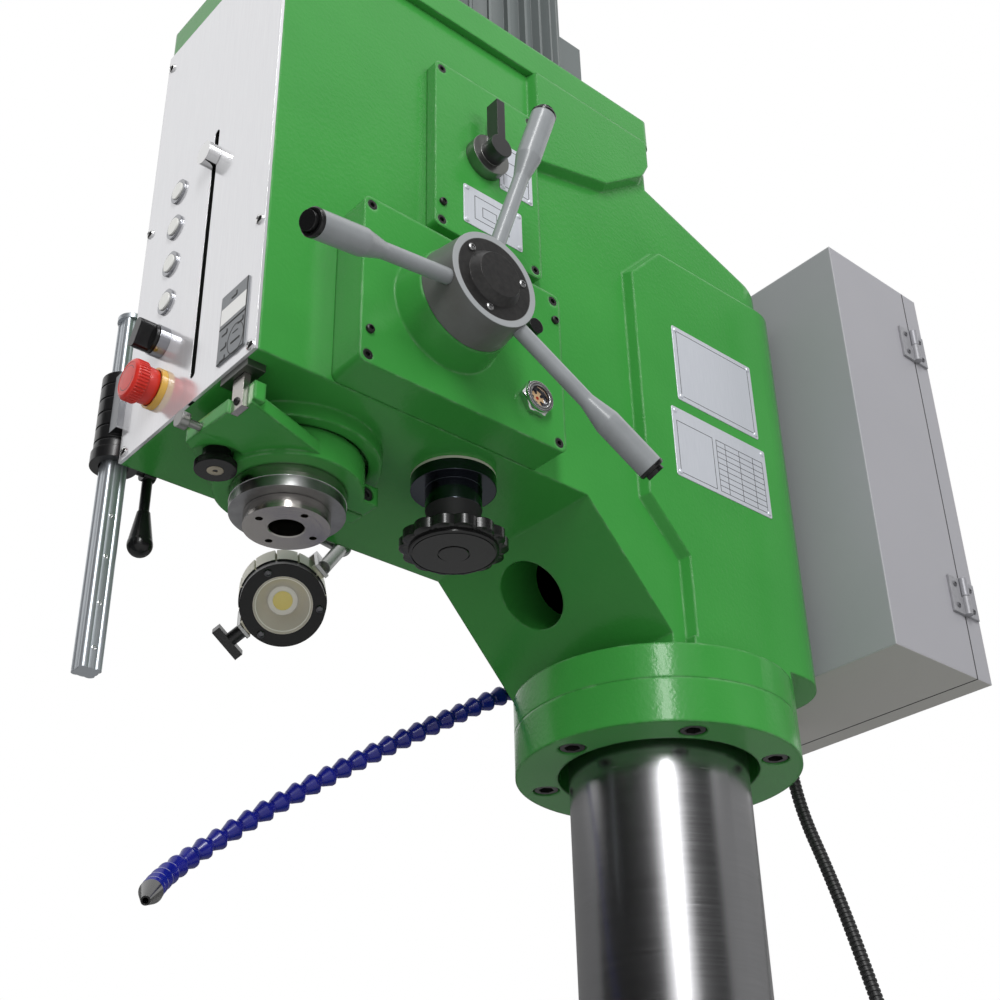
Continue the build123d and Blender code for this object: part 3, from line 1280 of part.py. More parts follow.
def gear_plate():
    sides = (PLATE_FRONT, PLATE_REAR, PLATE_FOOT, PLATE_TOP)
    plate = plate_x(HEAD_HALF, PLATE_FACE, *sides, PLATE_CORNER)
    plate -= span_x(DIAL_SHAFT_R + RUN, HEAD_HALF, PLATE_FACE, DIAL_Y, DIAL_Z)
    for y, z in PLATE_SCREWS:
        plate -= span_x(CASE_SCREW_R + SEAT, HEAD_HALF, PLATE_FACE, y, z)
        plate -= span_x(CASE_HEAD_R + SEAT, PLATE_FACE - CASE_HEAD_H, PLATE_FACE, y, z)
    return plate


save("gear_plate", gear_plate())


def case_screws():
    """Socket screws at the corners of the feed box and the gear plate."""
    screws = []
    for face, places in ((BOX_FACE, BOX_SCREWS), (PLATE_FACE, PLATE_SCREWS)):
        length = face - CASE_HEAD_H - HEAD_HALF + CASE_SCREW_GRIP
        head = (CASE_HEAD_R, CASE_HEAD_H)
        screw = socket_screw(CASE_SCREW_R, *head, length, CASE_SOCKET, CASE_HEAD_H / 2)
        for y, z in places:
            screws.append(Pos(face - CASE_HEAD_H, y, z) * Rot(0, 90, 0) * screw)
    return screws


save("socket_screws", *column_screws(), *case_screws())
sight = span_x(SIGHT_R, BOX_FACE, BOX_FACE + SIGHT_T, SIGHT_Y, SIGHT_Z)
lens = span_x(SIGHT_LENS_R, BOX_FACE, BOX_FACE + SIGHT_T / 2, SIGHT_Y, SIGHT_Z)
sight -= span_x(SIGHT_LENS_R, BOX_FACE, BOX_FACE + SIGHT_T, SIGHT_Y, SIGHT_Z)
plug = span_x(PLUG_R, BOX_FACE, BOX_FACE + PLUG_T, PLUG_Y, PLUG_Z)
save("oil_fittings", sight, lens, plug)


# Gear selector: dial ring with a knob and a short lever
def gear_selector():
    dial_face = PLATE_FACE + GAP + DIAL_T
    dial = span_x(DIAL_R, PLATE_FACE + GAP, dial_face, DIAL_Y, DIAL_Z)
    dial += span_x(DIAL_KNOB_R, dial_face, dial_face + DIAL_KNOB_T, DIAL_Y, DIAL_Z)
    half = DIAL_LEVER_W / 2
    knob_face = dial_face + DIAL_KNOB_T
    dial += block(dial_face, knob_face, DIAL_Y - half, DIAL_Y + half, DIAL_Z, DIAL_Z + DIAL_LEVER_L)
    return dial + span_x(DIAL_SHAFT_R, INNER_HALF, PLATE_FACE + GAP, DIAL_Y, DIAL_Z)


save("gear_selector", gear_selector())


# Feed shaft with its pinion, hub, cap and three levers
def feed_shaft():
    shaft_end = -INNER_HALF - HEAD_WALL / 2 + GAP
    shaft = span_x(FEED_SHAFT_R, shaft_end, HUB_FACE - HUB_CAP_T, FEED_Y, FEED_Z)
    plane = Plane((-FEED_WIDTH / 2, FEED_Y, FEED_Z), (0, 1, 0), (1, 0, 0))
    return shaft + extrude(plane * gear_outline(FEED_MODULE, FEED_TEETH, 0), FEED_WIDTH)


save("feed_shaft", feed_shaft())


def lever_plane(number):
    """Plane at the hub axis whose normal runs out along one lever."""
    angle = radians(LEVER_START + 360.0 / LEVER_COUNT * number)
    tilt = radians(LEVER_TILT)
    along = (sin(tilt), cos(tilt) * cos(angle), cos(tilt) * sin(angle))
    across = (0, -sin(angle), cos(angle))
    return Plane((LEVER_X, FEED_Y, FEED_Z), across, along)


LEVER_PLANES = [lever_plane(number) for number in range(LEVER_COUNT)]


def feed_hub():
    hub = cone_x(HUB_R, HUB_TIP_R, HUB_FOOT, HUB_FACE, FEED_Y, FEED_Z)
    hub -= span_x(HUB_CAP_R + SEAT, HUB_FACE - HUB_CAP_T, HUB_FACE, FEED_Y, FEED_Z)
    hub -= span_x(FEED_SHAFT_R + SEAT, HUB_FOOT, HUB_FACE, FEED_Y, FEED_Z)
    for plane in LEVER_PLANES:
        hub -= plane * span_z(LEVER_R + SEAT, LEVER_INNER, HUB_R * 2)
    return hub


save("feed_hub", feed_hub())
hub_cap = span_x(HUB_CAP_R, HUB_FACE - HUB_CAP_T, HUB_FACE, FEED_Y, FEED_Z)
hub_cap += cone_x(CAP_DOME_R, CAP_DOME_TIP_R, HUB_FACE, HUB_FACE + CAP_DOME_T, FEED_Y, FEED_Z)
save("hub_cap", hub_cap)


def feed_lever():
    """Rod that swells into a grip, bored at its end for the button."""
    lever = span_z(LEVER_R, LEVER_INNER, LEVER_ROD_END)
    lever += cone_z(LEVER_R, GRIP_R, LEVER_ROD_END, GRIP_START)
    lever += span_z(GRIP_R, GRIP_START, LEVER_LENGTH)
    return lever - span_z(LEVER_BUTTON_R + GAP, LEVER_LENGTH - LEVER_SEAT_DEPTH, LEVER_LENGTH)


save("feed_levers", *[plane * feed_lever() for plane in LEVER_PLANES])
for number, plane in enumerate(LEVER_PLANES, 1):
    inner = LEVER_LENGTH - LEVER_BUTTON_SEAT
    save(f"lever_button_{number}", plane * span_z(LEVER_BUTTON_R, inner, LEVER_LENGTH + LEVER_BUTTON_PROUD))


# Fine feed: flanged bush under the head and the lobed knob on its shaft
def fine_feed_bush():
    flange_foot = HEAD_FLOOR - FINE_FLANGE_T
    collar_foot = flange_foot - FINE_COLLAR_T
    bush = span_z(FINE_FLANGE_R, flange_foot, HEAD_FLOOR, FINE_X, FINE_Y)
    bush += span_z(FINE_COLLAR_R, collar_foot, flange_foot, FINE_X, FINE_Y)
    bush += cone_z(FINE_TIP_R, FINE_COLLAR_R, collar_foot - FINE_TIP_T, collar_foot, FINE_X, FINE_Y)
    return bush - span_z(FINE_SHAFT_R + RUN, collar_foot - FINE_TIP_T, HEAD_FLOOR, FINE_X, FINE_Y)


save("fine_feed_bush", fine_feed_bush())


def fine_feed_knob():
    neck_top = HEAD_FLOOR - FINE_FLANGE_T - FINE_COLLAR_T - FINE_TIP_T - GAP
    disc_top = neck_top - FINE_NECK_T
    disc_foot = disc_top - FINE_DISC_T
    knob = span_z(FINE_DISC_R, disc_foot, disc_top, FINE_X, FINE_Y)
    for x, y, angle in around(LOBE_COUNT, LOBE_CENTRE):
        knob += span_z(LOBE_R, disc_foot, disc_top, FINE_X + x, FINE_Y + y)
    dish = span_z(DISH_R, disc_foot, disc_foot + DISH_D, FINE_X, FINE_Y)
    knob -= dish - span_z(DISH_HUB_R, disc_foot, disc_foot + DISH_D, FINE_X, FINE_Y)
    knob += span_z(FINE_NECK_R, disc_top, neck_top, FINE_X, FINE_Y)
    return knob + span_z(FINE_SHAFT_R, neck_top, HEAD_FLOOR + FINE_SHAFT_RISE, FINE_X, FINE_Y)


save("fine_feed_knob", fine_feed_knob())


# Lamp: bracket on the left side, arm with an elbow and a stirrup, finned head
LAMP_FRAME = Plane(LAMP_POINT, LAMP_AXLE, LAMP_AIM)
root_x, root_y, root_z = LAMP_ROOT
knuckle_right = root_x + LAMP_KNUCKLE_W / 2


def rod_between(start, end, radius):
    """Round rod from one point to another."""
    line = Vector(*end) - Vector(*start)
    return Plane(start, z_dir=line) * span_z(radius, 0, line.length)


def lamp_bracket():
    half_w = LAMP_PLATE_W / 2
    half_h = LAMP_PLATE_H / 2
    plate_left = -HEAD_HALF - LAMP_PLATE_T
    sides = (root_y - half_w, root_y + half_w, root_z - half_h, root_z + half_h)
    bracket = plate_x(plate_left, -HEAD_HALF, *sides, EDGE_R)
    bracket += span_x(LAMP_KNUCKLE_R, knuckle_right + GAP, plate_left, root_y, root_z)
    return bracket + span_x(LAMP_TUBE_R, root_x - LAMP_KNUCKLE_W / 2, knuckle_right + GAP, root_y, root_z)


save("lamp_bracket", lamp_bracket())


def lamp_arm():
    knuckle = span_x(LAMP_KNUCKLE_R, root_x - LAMP_KNUCKLE_W / 2, knuckle_right, root_y, root_z)
    arm = knuckle + rod_between(LAMP_ROOT, ELBOW, LAMP_TUBE_R)
    arm -= span_x(LAMP_TUBE_R + RUN, root_x - LAMP_KNUCKLE_W / 2, knuckle_right, root_y, root_z)
    arm += Pos(*ELBOW) * Sphere(ELBOW_R)
    reach = STIRRUP_REACH + STIRRUP_T
    ear = LAMP_FRAME * Pos(reach, 0, -LAMP_PIVOT)
    arm += rod_between(ELBOW, tuple(ear.position), LAMP_TUBE_R)
    half = STIRRUP_W / 2
    back = -LAMP_PIVOT - STIRRUP_BACK
    strap = block(-reach, reach, -half, half, back - STIRRUP_T, -LAMP_PIVOT + half)
    strap -= block(-STIRRUP_REACH, STIRRUP_REACH, -half, half, back, -LAMP_PIVOT + half)
    turned = Pos(0, 0, -LAMP_PIVOT) * Rot(0, 90, 0)
    strap -= turned * span_z(LAMP_PIN_R + RUN, -reach, reach)
    wing = turned * span_z(WING_R, -reach - WING_L, -reach)
    wing_end = -reach - WING_L
    wing_z = (-LAMP_PIVOT - WING_R, -LAMP_PIVOT + WING_R)
    wing += block(wing_end - WING_T, wing_end, -WING_SPAN, WING_SPAN, *wing_z)
    arm += LAMP_FRAME * strap
    arm += LAMP_FRAME * wing
    arm -= LAMP_FRAME * (turned * span_z(LAMP_PIN_R + RUN, -reach, reach))
    inside = block(-STIRRUP_REACH, STIRRUP_REACH, -LAMP_RING_R, LAMP_RING_R, back, LAMP_RING_R)
    return arm - LAMP_FRAME * inside


save("lamp_arm", lamp_arm())


def lamp_head():
    head = span_z(LAMP_RING_R, -LAMP_RING_T, 0)
    head += cone_z(LAMP_TAIL_R, LAMP_BODY_R, -LAMP_RING_T - LAMP_BODY_L, -LAMP_RING_T)
    fin = block(0, LAMP_FIN_R, -LAMP_FIN_T / 2, LAMP_FIN_T / 2, -LAMP_RING_T - LAMP_FIN_L, -LAMP_RING_T)
    fin &= span_z(LAMP_FIN_R, -LAMP_RING_T - LAMP_FIN_L, -LAMP_RING_T)
    head += [Rot(0, 0, 360.0 / LAMP_FINS * (k + 0.5)) * fin for k in range(LAMP_FINS)]
    turned = Pos(0, 0, -LAMP_PIVOT) * Rot(0, 90, 0)
    head += turned * span_z(LAMP_BOSS_R, -STIRRUP_REACH + GAP, STIRRUP_REACH - GAP)
    pin_end = STIRRUP_REACH + STIRRUP_T - GAP
    head += turned * span_z(LAMP_PIN_R, -pin_end, pin_end)
    return LAMP_FRAME * (head - cone_z(LAMP_LENS_FOOT_R, LAMP_LENS_R, -LAMP_LENS_D, 0))


save("lamp_head", lamp_head())


# Guard: lobed bar that slides in a ribbed sleeve, with a clamp lever
def guard_bar():
    bar = span_z(GUARD_BAR_R, GUARD_FOOT, GUARD_TOP, GUARD_X, GUARD_Y)
    for x, y, angle in around(4, GUARD_LOBE_C, 45):
        bar += span_z(GUARD_LOBE_R, GUARD_FOOT, GUARD_TOP, GUARD_X + x, GUARD_Y + y)
    return bar + span_z(GUARD_CAP_R, GUARD_TOP, GUARD_TOP + GUARD_CAP_T, GUARD_X, GUARD_Y)


save("guard_bar", guard_bar())
guard_bore = GUARD_LOBE_C + GUARD_LOBE_R + GAP
sleeve_r = guard_bore + GUARD_SLEEVE_T


def guard_sleeve():
    top = SLEEVE_FOOT + GUARD_SLEEVE_H
    sleeve = span_z(sleeve_r, SLEEVE_FOOT, top, GUARD_X, GUARD_Y)
    sleeve += span_z(SLEEVE_FLANGE_R, SLEEVE_FOOT, SLEEVE_FOOT + SLEEVE_FLANGE_T, GUARD_X, GUARD_Y)
    groove_foot = SLEEVE_FOOT + SLEEVE_FLANGE_T
    for k in range(int((top - groove_foot) / GROOVE_PITCH)):
        z = groove_foot + GROOVE_PITCH * (k + 0.5)
        groove = span_z(sleeve_r + GAP, z, z + GROOVE_W, GUARD_X, GUARD_Y)
        sleeve -= groove - span_z(sleeve_r - GROOVE_D, z, z + GROOVE_W, GUARD_X, GUARD_Y)
    bracket_top = top - BRACKET_DROP
    foot = bracket_top - BRACKET_H
    half = BRACKET_W / 2
    sleeve += block(GUARD_X + BRACKET_LEFT, -HEAD_HALF, GUARD_Y - half, GUARD_Y + half, foot, bracket_top)
    sleeve -= span_z(guard_bore, SLEEVE_FOOT, top, GUARD_X, GUARD_Y)
    stud_z = SLEEVE_FOOT + SLEEVE_FLANGE_T / 2
    stud_y = GUARD_Y + SLEEVE_FLANGE_R
    return sleeve + span_y(GUARD_STUD_R, stud_y - GUARD_STUD_SINK, stud_y + GUARD_STUD_L, GUARD_X, stud_z)


save("guard_sleeve", guard_sleeve())


def guard_lever():
    stud_z = SLEEVE_FOOT + SLEEVE_FLANGE_T / 2
    yoke_y = GUARD_Y + SLEEVE_FLANGE_R + GUARD_STUD_L - GUARD_YOKE_W
    middle = yoke_y + GUARD_YOKE_W / 2
    lever = span_y(GUARD_YOKE_R, yoke_y, yoke_y + GUARD_YOKE_W, GUARD_X, stud_z)
    rod_foot = stud_z - GUARD_ROD_L
    lever += span_z(GUARD_ROD_R, rod_foot, stud_z, GUARD_X, middle)
    ball_z = rod_foot - GUARD_KNOB_L + GUARD_KNOB_R
    lever += cone_z(GUARD_KNOB_R, GUARD_KNOB_TOP_R, ball_z, rod_foot, GUARD_X, middle)
    lever += Pos(GUARD_X, middle, ball_z) * Sphere(GUARD_KNOB_R)
    return lever - span_y(GUARD_STUD_R + RUN, yoke_y, yoke_y + GUARD_YOKE_W, GUARD_X, stud_z)


save("guard_lever", guard_lever())


def gland_at(x, y, z):
    """Bored gland of the conduit, its lower end at z."""
    return span_z(GLAND_R, z, z + GLAND_L, x, y) - span_z(CONDUIT_BORE, z, z + GLAND_L, x, y)


# Cabinet: sheet box on the rear of the casting, door on two hinges
def cabinet_box():
    box = block(-CABINET_HALF, CABINET_HALF, PAD_REAR, CABINET_REAR, CABINET_FOOT, CABINET_TOP)
    inner = CABINET_HALF - CABINET_WALL
    low = CABINET_FOOT + CABINET_WALL
    high = CABINET_TOP - CABINET_WALL
    box -= block(-inner, inner, PAD_REAR + CABINET_WALL, CABINET_REAR, low, high)
    box -= span_z(CONDUIT_BORE, CABINET_FOOT, low, GLAND_X, GLAND_Y)
    return [box, gland_at(GLAND_X, GLAND_Y, CABINET_FOOT - GLAND_L)]


save("cabinet_box", *cabinet_box())


def hinge_half(side, z0, z1, centre, bore):
    """Leaf beside the seam, on the box at side -1 or the door at 1, with its knuckle from z0 to z1."""
    low = centre - HINGE_H / 2
    near = CABINET_REAR + DOOR_SEAM / 2 + side * (HINGE_KNUCKLE_R + GAP)
    far = near + side * HINGE_LEAF_W
    leaf_x = CABINET_HALF + HINGE_LEAF_T
    axis_y = CABINET_REAR + DOOR_SEAM / 2
    leaf = block(CABINET_HALF, leaf_x, min(near, far), max(near, far), low, low + HINGE_H)
    leaf += block(CABINET_HALF, leaf_x, min(near, axis_y), max(near, axis_y), z0, z1)
    leaf += span_z(HINGE_KNUCKLE_R, z0, z1, HINGE_X, axis_y)
    return leaf - span_z(bore, z0, z1, HINGE_X, axis_y) if bore else leaf


def hinge_leaves():
    """Leaves on the box, each with its pin."""
    leaves = []
    for z in HINGE_Z:
        leaf = hinge_half(-1, z - HINGE_H / 2, z - GAP, z, 0)
        axis_y = CABINET_REAR + DOOR_SEAM / 2
        leaves.append(leaf + span_z(HINGE_PIN_R, z - GAP, z + HINGE_H / 2, HINGE_X, axis_y))
    return leaves


save("cabinet_hinges", *hinge_leaves())


def cabinet_door():
    """Shallow tray with its leaves and a round lock near the free edge."""
    rear = DOOR_FACE + DOOR_T
    door = block(-CABINET_HALF, CABINET_HALF, DOOR_FACE, rear, CABINET_FOOT, CABINET_TOP)
    inner = CABINET_HALF - CABINET_WALL
    low = CABINET_FOOT + CABINET_WALL
    door -= block(-inner, inner, DOOR_FACE, rear - CABINET_WALL, low, CABINET_TOP - CABINET_WALL)
    door += span_y(LOCK_R, rear, rear + LOCK_T, -CABINET_HALF + LOCK_EDGE, LOCK_Z)
    leaves = [hinge_half(1, z, z + HINGE_H / 2, z, HINGE_PIN_R + RUN) for z in HINGE_Z]
    return [door] + leaves


save("cabinet_door", *cabinet_door())


# Conduit from the cabinet floor down to the pump on the base
def coolant_pump():
    flange_top = BASE_H + PUMP_FLANGE_T
    pump = span_z(PUMP_FLANGE_R, BASE_H, flange_top, PUMP_X, PUMP_Y)
    pump += span_z(PUMP_R, flange_top, flange_top + PUMP_H, PUMP_X, PUMP_Y)
    pump += span_z(PUMP_CAP_R, flange_top + PUMP_H, PUMP_TOP, PUMP_X, PUMP_Y)
    return [pump, gland_at(PUMP_X, PUMP_Y, PUMP_TOP)]


save("coolant_pump", *coolant_pump())
conduit_path, conduit_radii = bent_path(CONDUIT_ROUTE)
conduit_rib = [
    (0.0, CONDUIT_GROOVE_R),
    (0.2, CONDUIT_R),
    (0.65, CONDUIT_R),
    (0.85, CONDUIT_GROOVE_R),
]
conduit = ribbed_tube(conduit_path, CONDUIT_RIBS, conduit_rib, CONDUIT_BORE, (1, 0, 0))
save("conduit", conduit)
print("conduit length", round(conduit_path.length), "radii", [round(r) for r in conduit_radii])

# Coolant hose of ball segments, its bracket and its nozzle
hose_path, hose_radii = bent_path(HOSE_ROUTE)
hose_count = round(hose_path.length / HOSE_PITCH)
hose_segment = [
    (0.0, HOSE_NECK_R),
    (0.2, HOSE_SHOULDER_R),
    (0.8, HOSE_R),
    (0.92, HOSE_SKIRT_R),
]
save("coolant_hose", ribbed_tube(hose_path, hose_count, hose_segment, HOSE_BORE, (1, 0, 0)))
print("hose length", round(hose_path.length), "radii", [round(r) for r in hose_radii])


def hose_bracket():
    """Block on the side of the neck with a nipple square to the hose."""
    start = Vector(*HOSE_ROUTE[0])
    along = (Vector(*HOSE_ROUTE[1]) - start).normalized()
    nipple = Plane(start, (1, 0, 0), along) * span_z(NIPPLE_R, -NIPPLE_L * 2, 0)
    front = start.Y + NIPPLE_L
    low = start.Z - HOSE_BLOCK_H / 2 + NIPPLE_L / 2
    left = start.X - HOSE_BLOCK_W / 2
    return block(left, -PAD_X, front, front + HOSE_BLOCK_W, low, low + HOSE_BLOCK_H) + nipple


save("hose_bracket", hose_bracket())


def hose_nozzle():
    end = Vector(*HOSE_ROUTE[-1])
    along = (end - Vector(*HOSE_ROUTE[-2])).normalized()
    plane = Plane(end, (1, 0, 0), along)
    nozzle = cone_z(HOSE_R, NOZZLE_TIP_R, 0, NOZZLE_L) - span_z(NOZZLE_BORE, 0, NOZZLE_L)
    return plane * nozzle


save("hose_nozzle", hose_nozzle())


# Table rack: toothed bar between two rings that turn on the column
def table_rack():
    top = RACK_FOOT + RACK_RING_T * 2 + RACK_LENGTH
    bar_low = RACK_FOOT + RACK_RING_T
    ring_r = COLUMN_R + GAP + RACK_RING_W
    half = RACK_W / 2
    bar = block(COLUMN_R + GAP, RACK_FACE, -half, half, RACK_FOOT, top)
    bar -= span_z(COLUMN_R + GAP, RACK_FOOT, top)
    pitch = pi * RACK_MODULE
    gap_plane = Plane((RACK_FACE, half, CRANK_Z), (1, 0, 0), (0, -1, 0))
    gap = extrude(gap_plane * rack_gap(RACK_MODULE), RACK_W)
    below = int((CRANK_Z - bar_low) / pitch - 1)
    above = int((top - RACK_RING_T - CRANK_Z) / pitch - 1)
    bar -= [Pos(0, 0, pitch * k) * gap for k in range(-below, above + 1)]
    for foot in (RACK_FOOT, top - RACK_RING_T):
        ring = span_z(ring_r, foot, foot + RACK_RING_T) - span_z(COLUMN_R + GAP, foot, foot + RACK_RING_T)
        bar += ring
    return bar


save("table_rack", table_rack())


# Table arm: collar on the column, beam, boss for the table and housing of the crank
def table_arm():
    collar_top = ARM_COLLAR_FOOT + ARM_COLLAR_H
    arm = span_z(ARM_COLLAR_R, ARM_COLLAR_FOOT, collar_top)
    beam_foot = TABLE_FOOT - TABLE_BOSS_H + (TABLE_BOSS_H - TABLE_ARM_H) / 2
    arm += block(-TABLE_ARM_HALF, TABLE_ARM_HALF, SPINDLE_Y, 0, beam_foot, beam_foot + TABLE_ARM_H)
    arm += span_z(TABLE_BOSS_R, TABLE_FOOT - TABLE_BOSS_H, TABLE_FOOT - GAP, 0, SPINDLE_Y)
    low = CRANK_Z - HOUSING_HALF_Z
    high = CRANK_Z + HOUSING_HALF_Z
    arm += block(COLUMN_R, HOUSING_X, HOUSING_FRONT, HOUSING_REAR, low, high)
    arm -= span_z(COLUMN_R + RUN, ARM_COLLAR_FOOT, collar_top)
    arm -= span_z(SPIGOT_R + RUN, TABLE_FOOT - SPIGOT_L - GAP, TABLE_FOOT, 0, SPINDLE_Y)
    half = RACK_W / 2 + GAP
    arm -= block(0, RACK_FACE + GAP, -half, half, ARM_COLLAR_FOOT, collar_top)
    pinion_r = RACK_MODULE * (CRANK_TEETH / 2 + 1) + GAP
    arm -= span_y(pinion_r, -CRANK_WIDTH / 2 - GAP, CRANK_WIDTH / 2 + GAP, CRANK_X, CRANK_Z)
    return arm - span_y(CRANK_SHAFT_R + RUN, HOUSING_FRONT, HOUSING_REAR - GAP, CRANK_X, CRANK_Z)


save("table_arm", table_arm())


def table_top():
    """Square table with two T-slots on a spigot that turns in the arm."""
    front = SPINDLE_Y - TABLE_HALF
    rear = SPINDLE_Y + TABLE_HALF
    table = plate_z(-TABLE_HALF, TABLE_HALF, front, rear, TABLE_FOOT, TABLE_TOP, TABLE_CORNER)
    for slot in t_slots(TABLE_SLOT_X, front, rear, TABLE_TOP):
        table -= slot
    return table + span_z(SPIGOT_R, TABLE_FOOT - SPIGOT_L, TABLE_FOOT, 0, SPINDLE_Y)


save("table_top", table_top())


def table_crank():
    """Pinion on its shaft with a crank and a grip outside the housing."""
    arm_back = HOUSING_FRONT - GAP
    arm_front = arm_back - CRANK_ARM_T
    shaft = span_y(CRANK_SHAFT_R, arm_front, HOUSING_REAR - 2 * GAP, CRANK_X, CRANK_Z)
    plane = Plane((CRANK_X, CRANK_WIDTH / 2, CRANK_Z), (1, 0, 0), (0, -1, 0))
    shaft += extrude(plane * gear_outline(RACK_MODULE, CRANK_TEETH, 180), CRANK_WIDTH)
    shaft += span_y(CRANK_HUB_R, arm_front, arm_back, CRANK_X, CRANK_Z)
    half = CRANK_ARM_HALF
    foot = CRANK_Z - CRANK_ARM_L
    shaft += block(CRANK_X - half, CRANK_X + half, arm_front, arm_back, foot, CRANK_Z)
    shaft += span_y(half, arm_front, arm_back, CRANK_X, foot)
    return shaft + span_y(CRANK_GRIP_R, arm_front - CRANK_GRIP_L, arm_front, CRANK_X, foot)


save("table_crank", table_crank())
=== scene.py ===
import bmesh
import bpy
import numpy as np
from mathutils import Matrix


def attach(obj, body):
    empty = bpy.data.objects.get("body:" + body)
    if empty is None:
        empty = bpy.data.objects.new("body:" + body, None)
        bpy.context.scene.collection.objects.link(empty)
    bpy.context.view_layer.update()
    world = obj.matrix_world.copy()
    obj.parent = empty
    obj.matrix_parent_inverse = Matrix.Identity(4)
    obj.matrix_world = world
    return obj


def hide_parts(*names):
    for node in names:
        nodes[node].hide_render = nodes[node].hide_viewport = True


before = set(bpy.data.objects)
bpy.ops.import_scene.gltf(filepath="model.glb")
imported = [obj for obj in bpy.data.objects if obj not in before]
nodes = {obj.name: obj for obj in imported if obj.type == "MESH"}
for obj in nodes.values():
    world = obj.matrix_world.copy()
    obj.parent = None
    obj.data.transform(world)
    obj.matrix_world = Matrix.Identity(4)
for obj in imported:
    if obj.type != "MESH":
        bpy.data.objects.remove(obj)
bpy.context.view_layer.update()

# The photograph looks up at the drill's head from its right-hand front, low above the floor.
# The camera stands where the vanishing points of the casting's edges put it.
EYE = np.array([0.9733, -1.0593, 0.6749])
AZIMUTH, ELEVATION, ROLL = np.radians([48.656, -30.742, -1.327])
LENS_MM = 53.82
SENSOR_MM = 36.0
UP = (0, 0, 1)


def unit(vector):
    """A vector divided by its length."""
    vector = np.asarray(vector, float)
    return vector / np.linalg.norm(vector)


flat = np.cos(ELEVATION)
behind = np.array([np.sin(AZIMUTH) * flat, -np.cos(AZIMUTH) * flat, np.sin(ELEVATION)])
level = unit(np.cross(UP, behind))
rise = np.cross(behind, level)
across = np.cos(ROLL) * level + np.sin(ROLL) * rise
upright = np.cos(ROLL) * rise - np.sin(ROLL) * level


def posed(columns):
    """Matrix of an object whose axes and place are these four columns."""
    turn = np.eye(4)
    turn[:3] = np.stack(columns, axis=1)
    return Matrix(turn.tolist())


lens = bpy.data.cameras.new("photo_view")
lens.lens = LENS_MM
lens.sensor_width = SENSOR_MM
lens.sensor_fit = "HORIZONTAL"
camera = bpy.data.objects.new("photo_view", lens)
bpy.context.scene.collection.objects.link(camera)
camera.matrix_world = posed([across, upright, behind, EYE])
bpy.context.scene.camera = camera
bpy.context.scene.view_settings.view_transform = "Standard"


# Studio light: white all round, one tall soft lamp above the camera and a wider one on the right.
# Paint shows its own colour in it; dark cards out of view give bright metal something to mirror.
AMBIENT = 0.52
KEY_PLACE = (2.86, -2.19, 3.3)
KEY_SIZE = (0.6, 3.0)
KEY_POWER = 105.0
SIDE_PLACE = (3.6, 1.0, 2.6)
SIDE_SIZE = (1.2, 1.8)
SIDE_POWER = 34.0
CARD_REACH = 4.2
LOW = (0.0, 3.0)
HIGH = (3.0, 5.8)
CARDS = {
    "left_low": (-100.0, -13.0, LOW, 0.03),
    "left_high": (-84.0, -16.0, HIGH, 0.03),
    "far_left_low": (-180.0, -100.0, LOW, 0.30),
    "right_low": (22.0, 62.0, LOW, 0.11),
    "right_high": (36.0, 96.0, HIGH, 0.20),
    "far_right_low": (62.0, 142.0, LOW, 0.50),
    "behind_low": (142.0, 180.0, LOW, 0.40),
}
FLOOR_GREY = 0.62
FLOOR_SIZE = 9.0
MIDDLE = (0.0, -0.25, 1.5)
BEVEL_SAMPLES = 6
EDGE_GAIN = 3.0


class Value:
    """A number that a node gives; sums, products and comparisons of it add Math nodes."""

    def __init__(self, tree, socket):
        self.tree = tree
        self.socket = socket

    def math(self, operation, *terms):
        """One Math node on these terms."""
        node = self.tree.nodes.new("ShaderNodeMath")
        node.operation = operation
        for place, term in zip(node.inputs, terms):
            if isinstance(term, Value):
                self.tree.links.new(term.socket, place)
            else:
                place.default_value = term
        return Value(self.tree, node.outputs[0])

    def __add__(self, other):
        return self.math("ADD", self, other)

    __radd__ = __add__

    def __sub__(self, other):
        return self.math("SUBTRACT", self, other)

    def __rsub__(self, other):
        return self.math("SUBTRACT", other, self)

    def __mul__(self, other):
        return self.math("MULTIPLY", self, other)

    __rmul__ = __mul__

    def __lt__(self, other):
        return self.math("LESS_THAN", self, other)

    def __gt__(self, other):
        return self.math("GREATER_THAN", self, other)

    def __abs__(self):
        return self.math("ABSOLUTE", self)

    def most(self, other):
        """The larger of two numbers."""
        return self.math("MAXIMUM", self, other)

    def least(self, other):
        """The smaller of two numbers."""
        return self.math("MINIMUM", self, other)

    def share(self):
        """The number held between none and all."""
        return self.most(0.0).least(1.0)

    def between(self, low, high):
        """The place that the number, as a share, marks between two others."""
        return self * (high - low) + low


class Nodes:
    """Adds nodes of any type to one tree."""

    def __init__(self, tree):
        self.tree = tree
        tree.nodes.clear()

    def add(self, kind, settings=None, sockets=None, output=0):
        """One node: its settings first, then the values or links of its sockets."""
        node = self.tree.nodes.new(kind)
        for name, value in (settings or {}).items():
            setattr(node, name, value)
        for name, value in (sockets or {}).items():
            if isinstance(value, Value):
                self.tree.links.new(value.socket, node.inputs[name])
            else:
                node.inputs[name].default_value = value
        return Value(self.tree, node.outputs[output]) if node.outputs else node


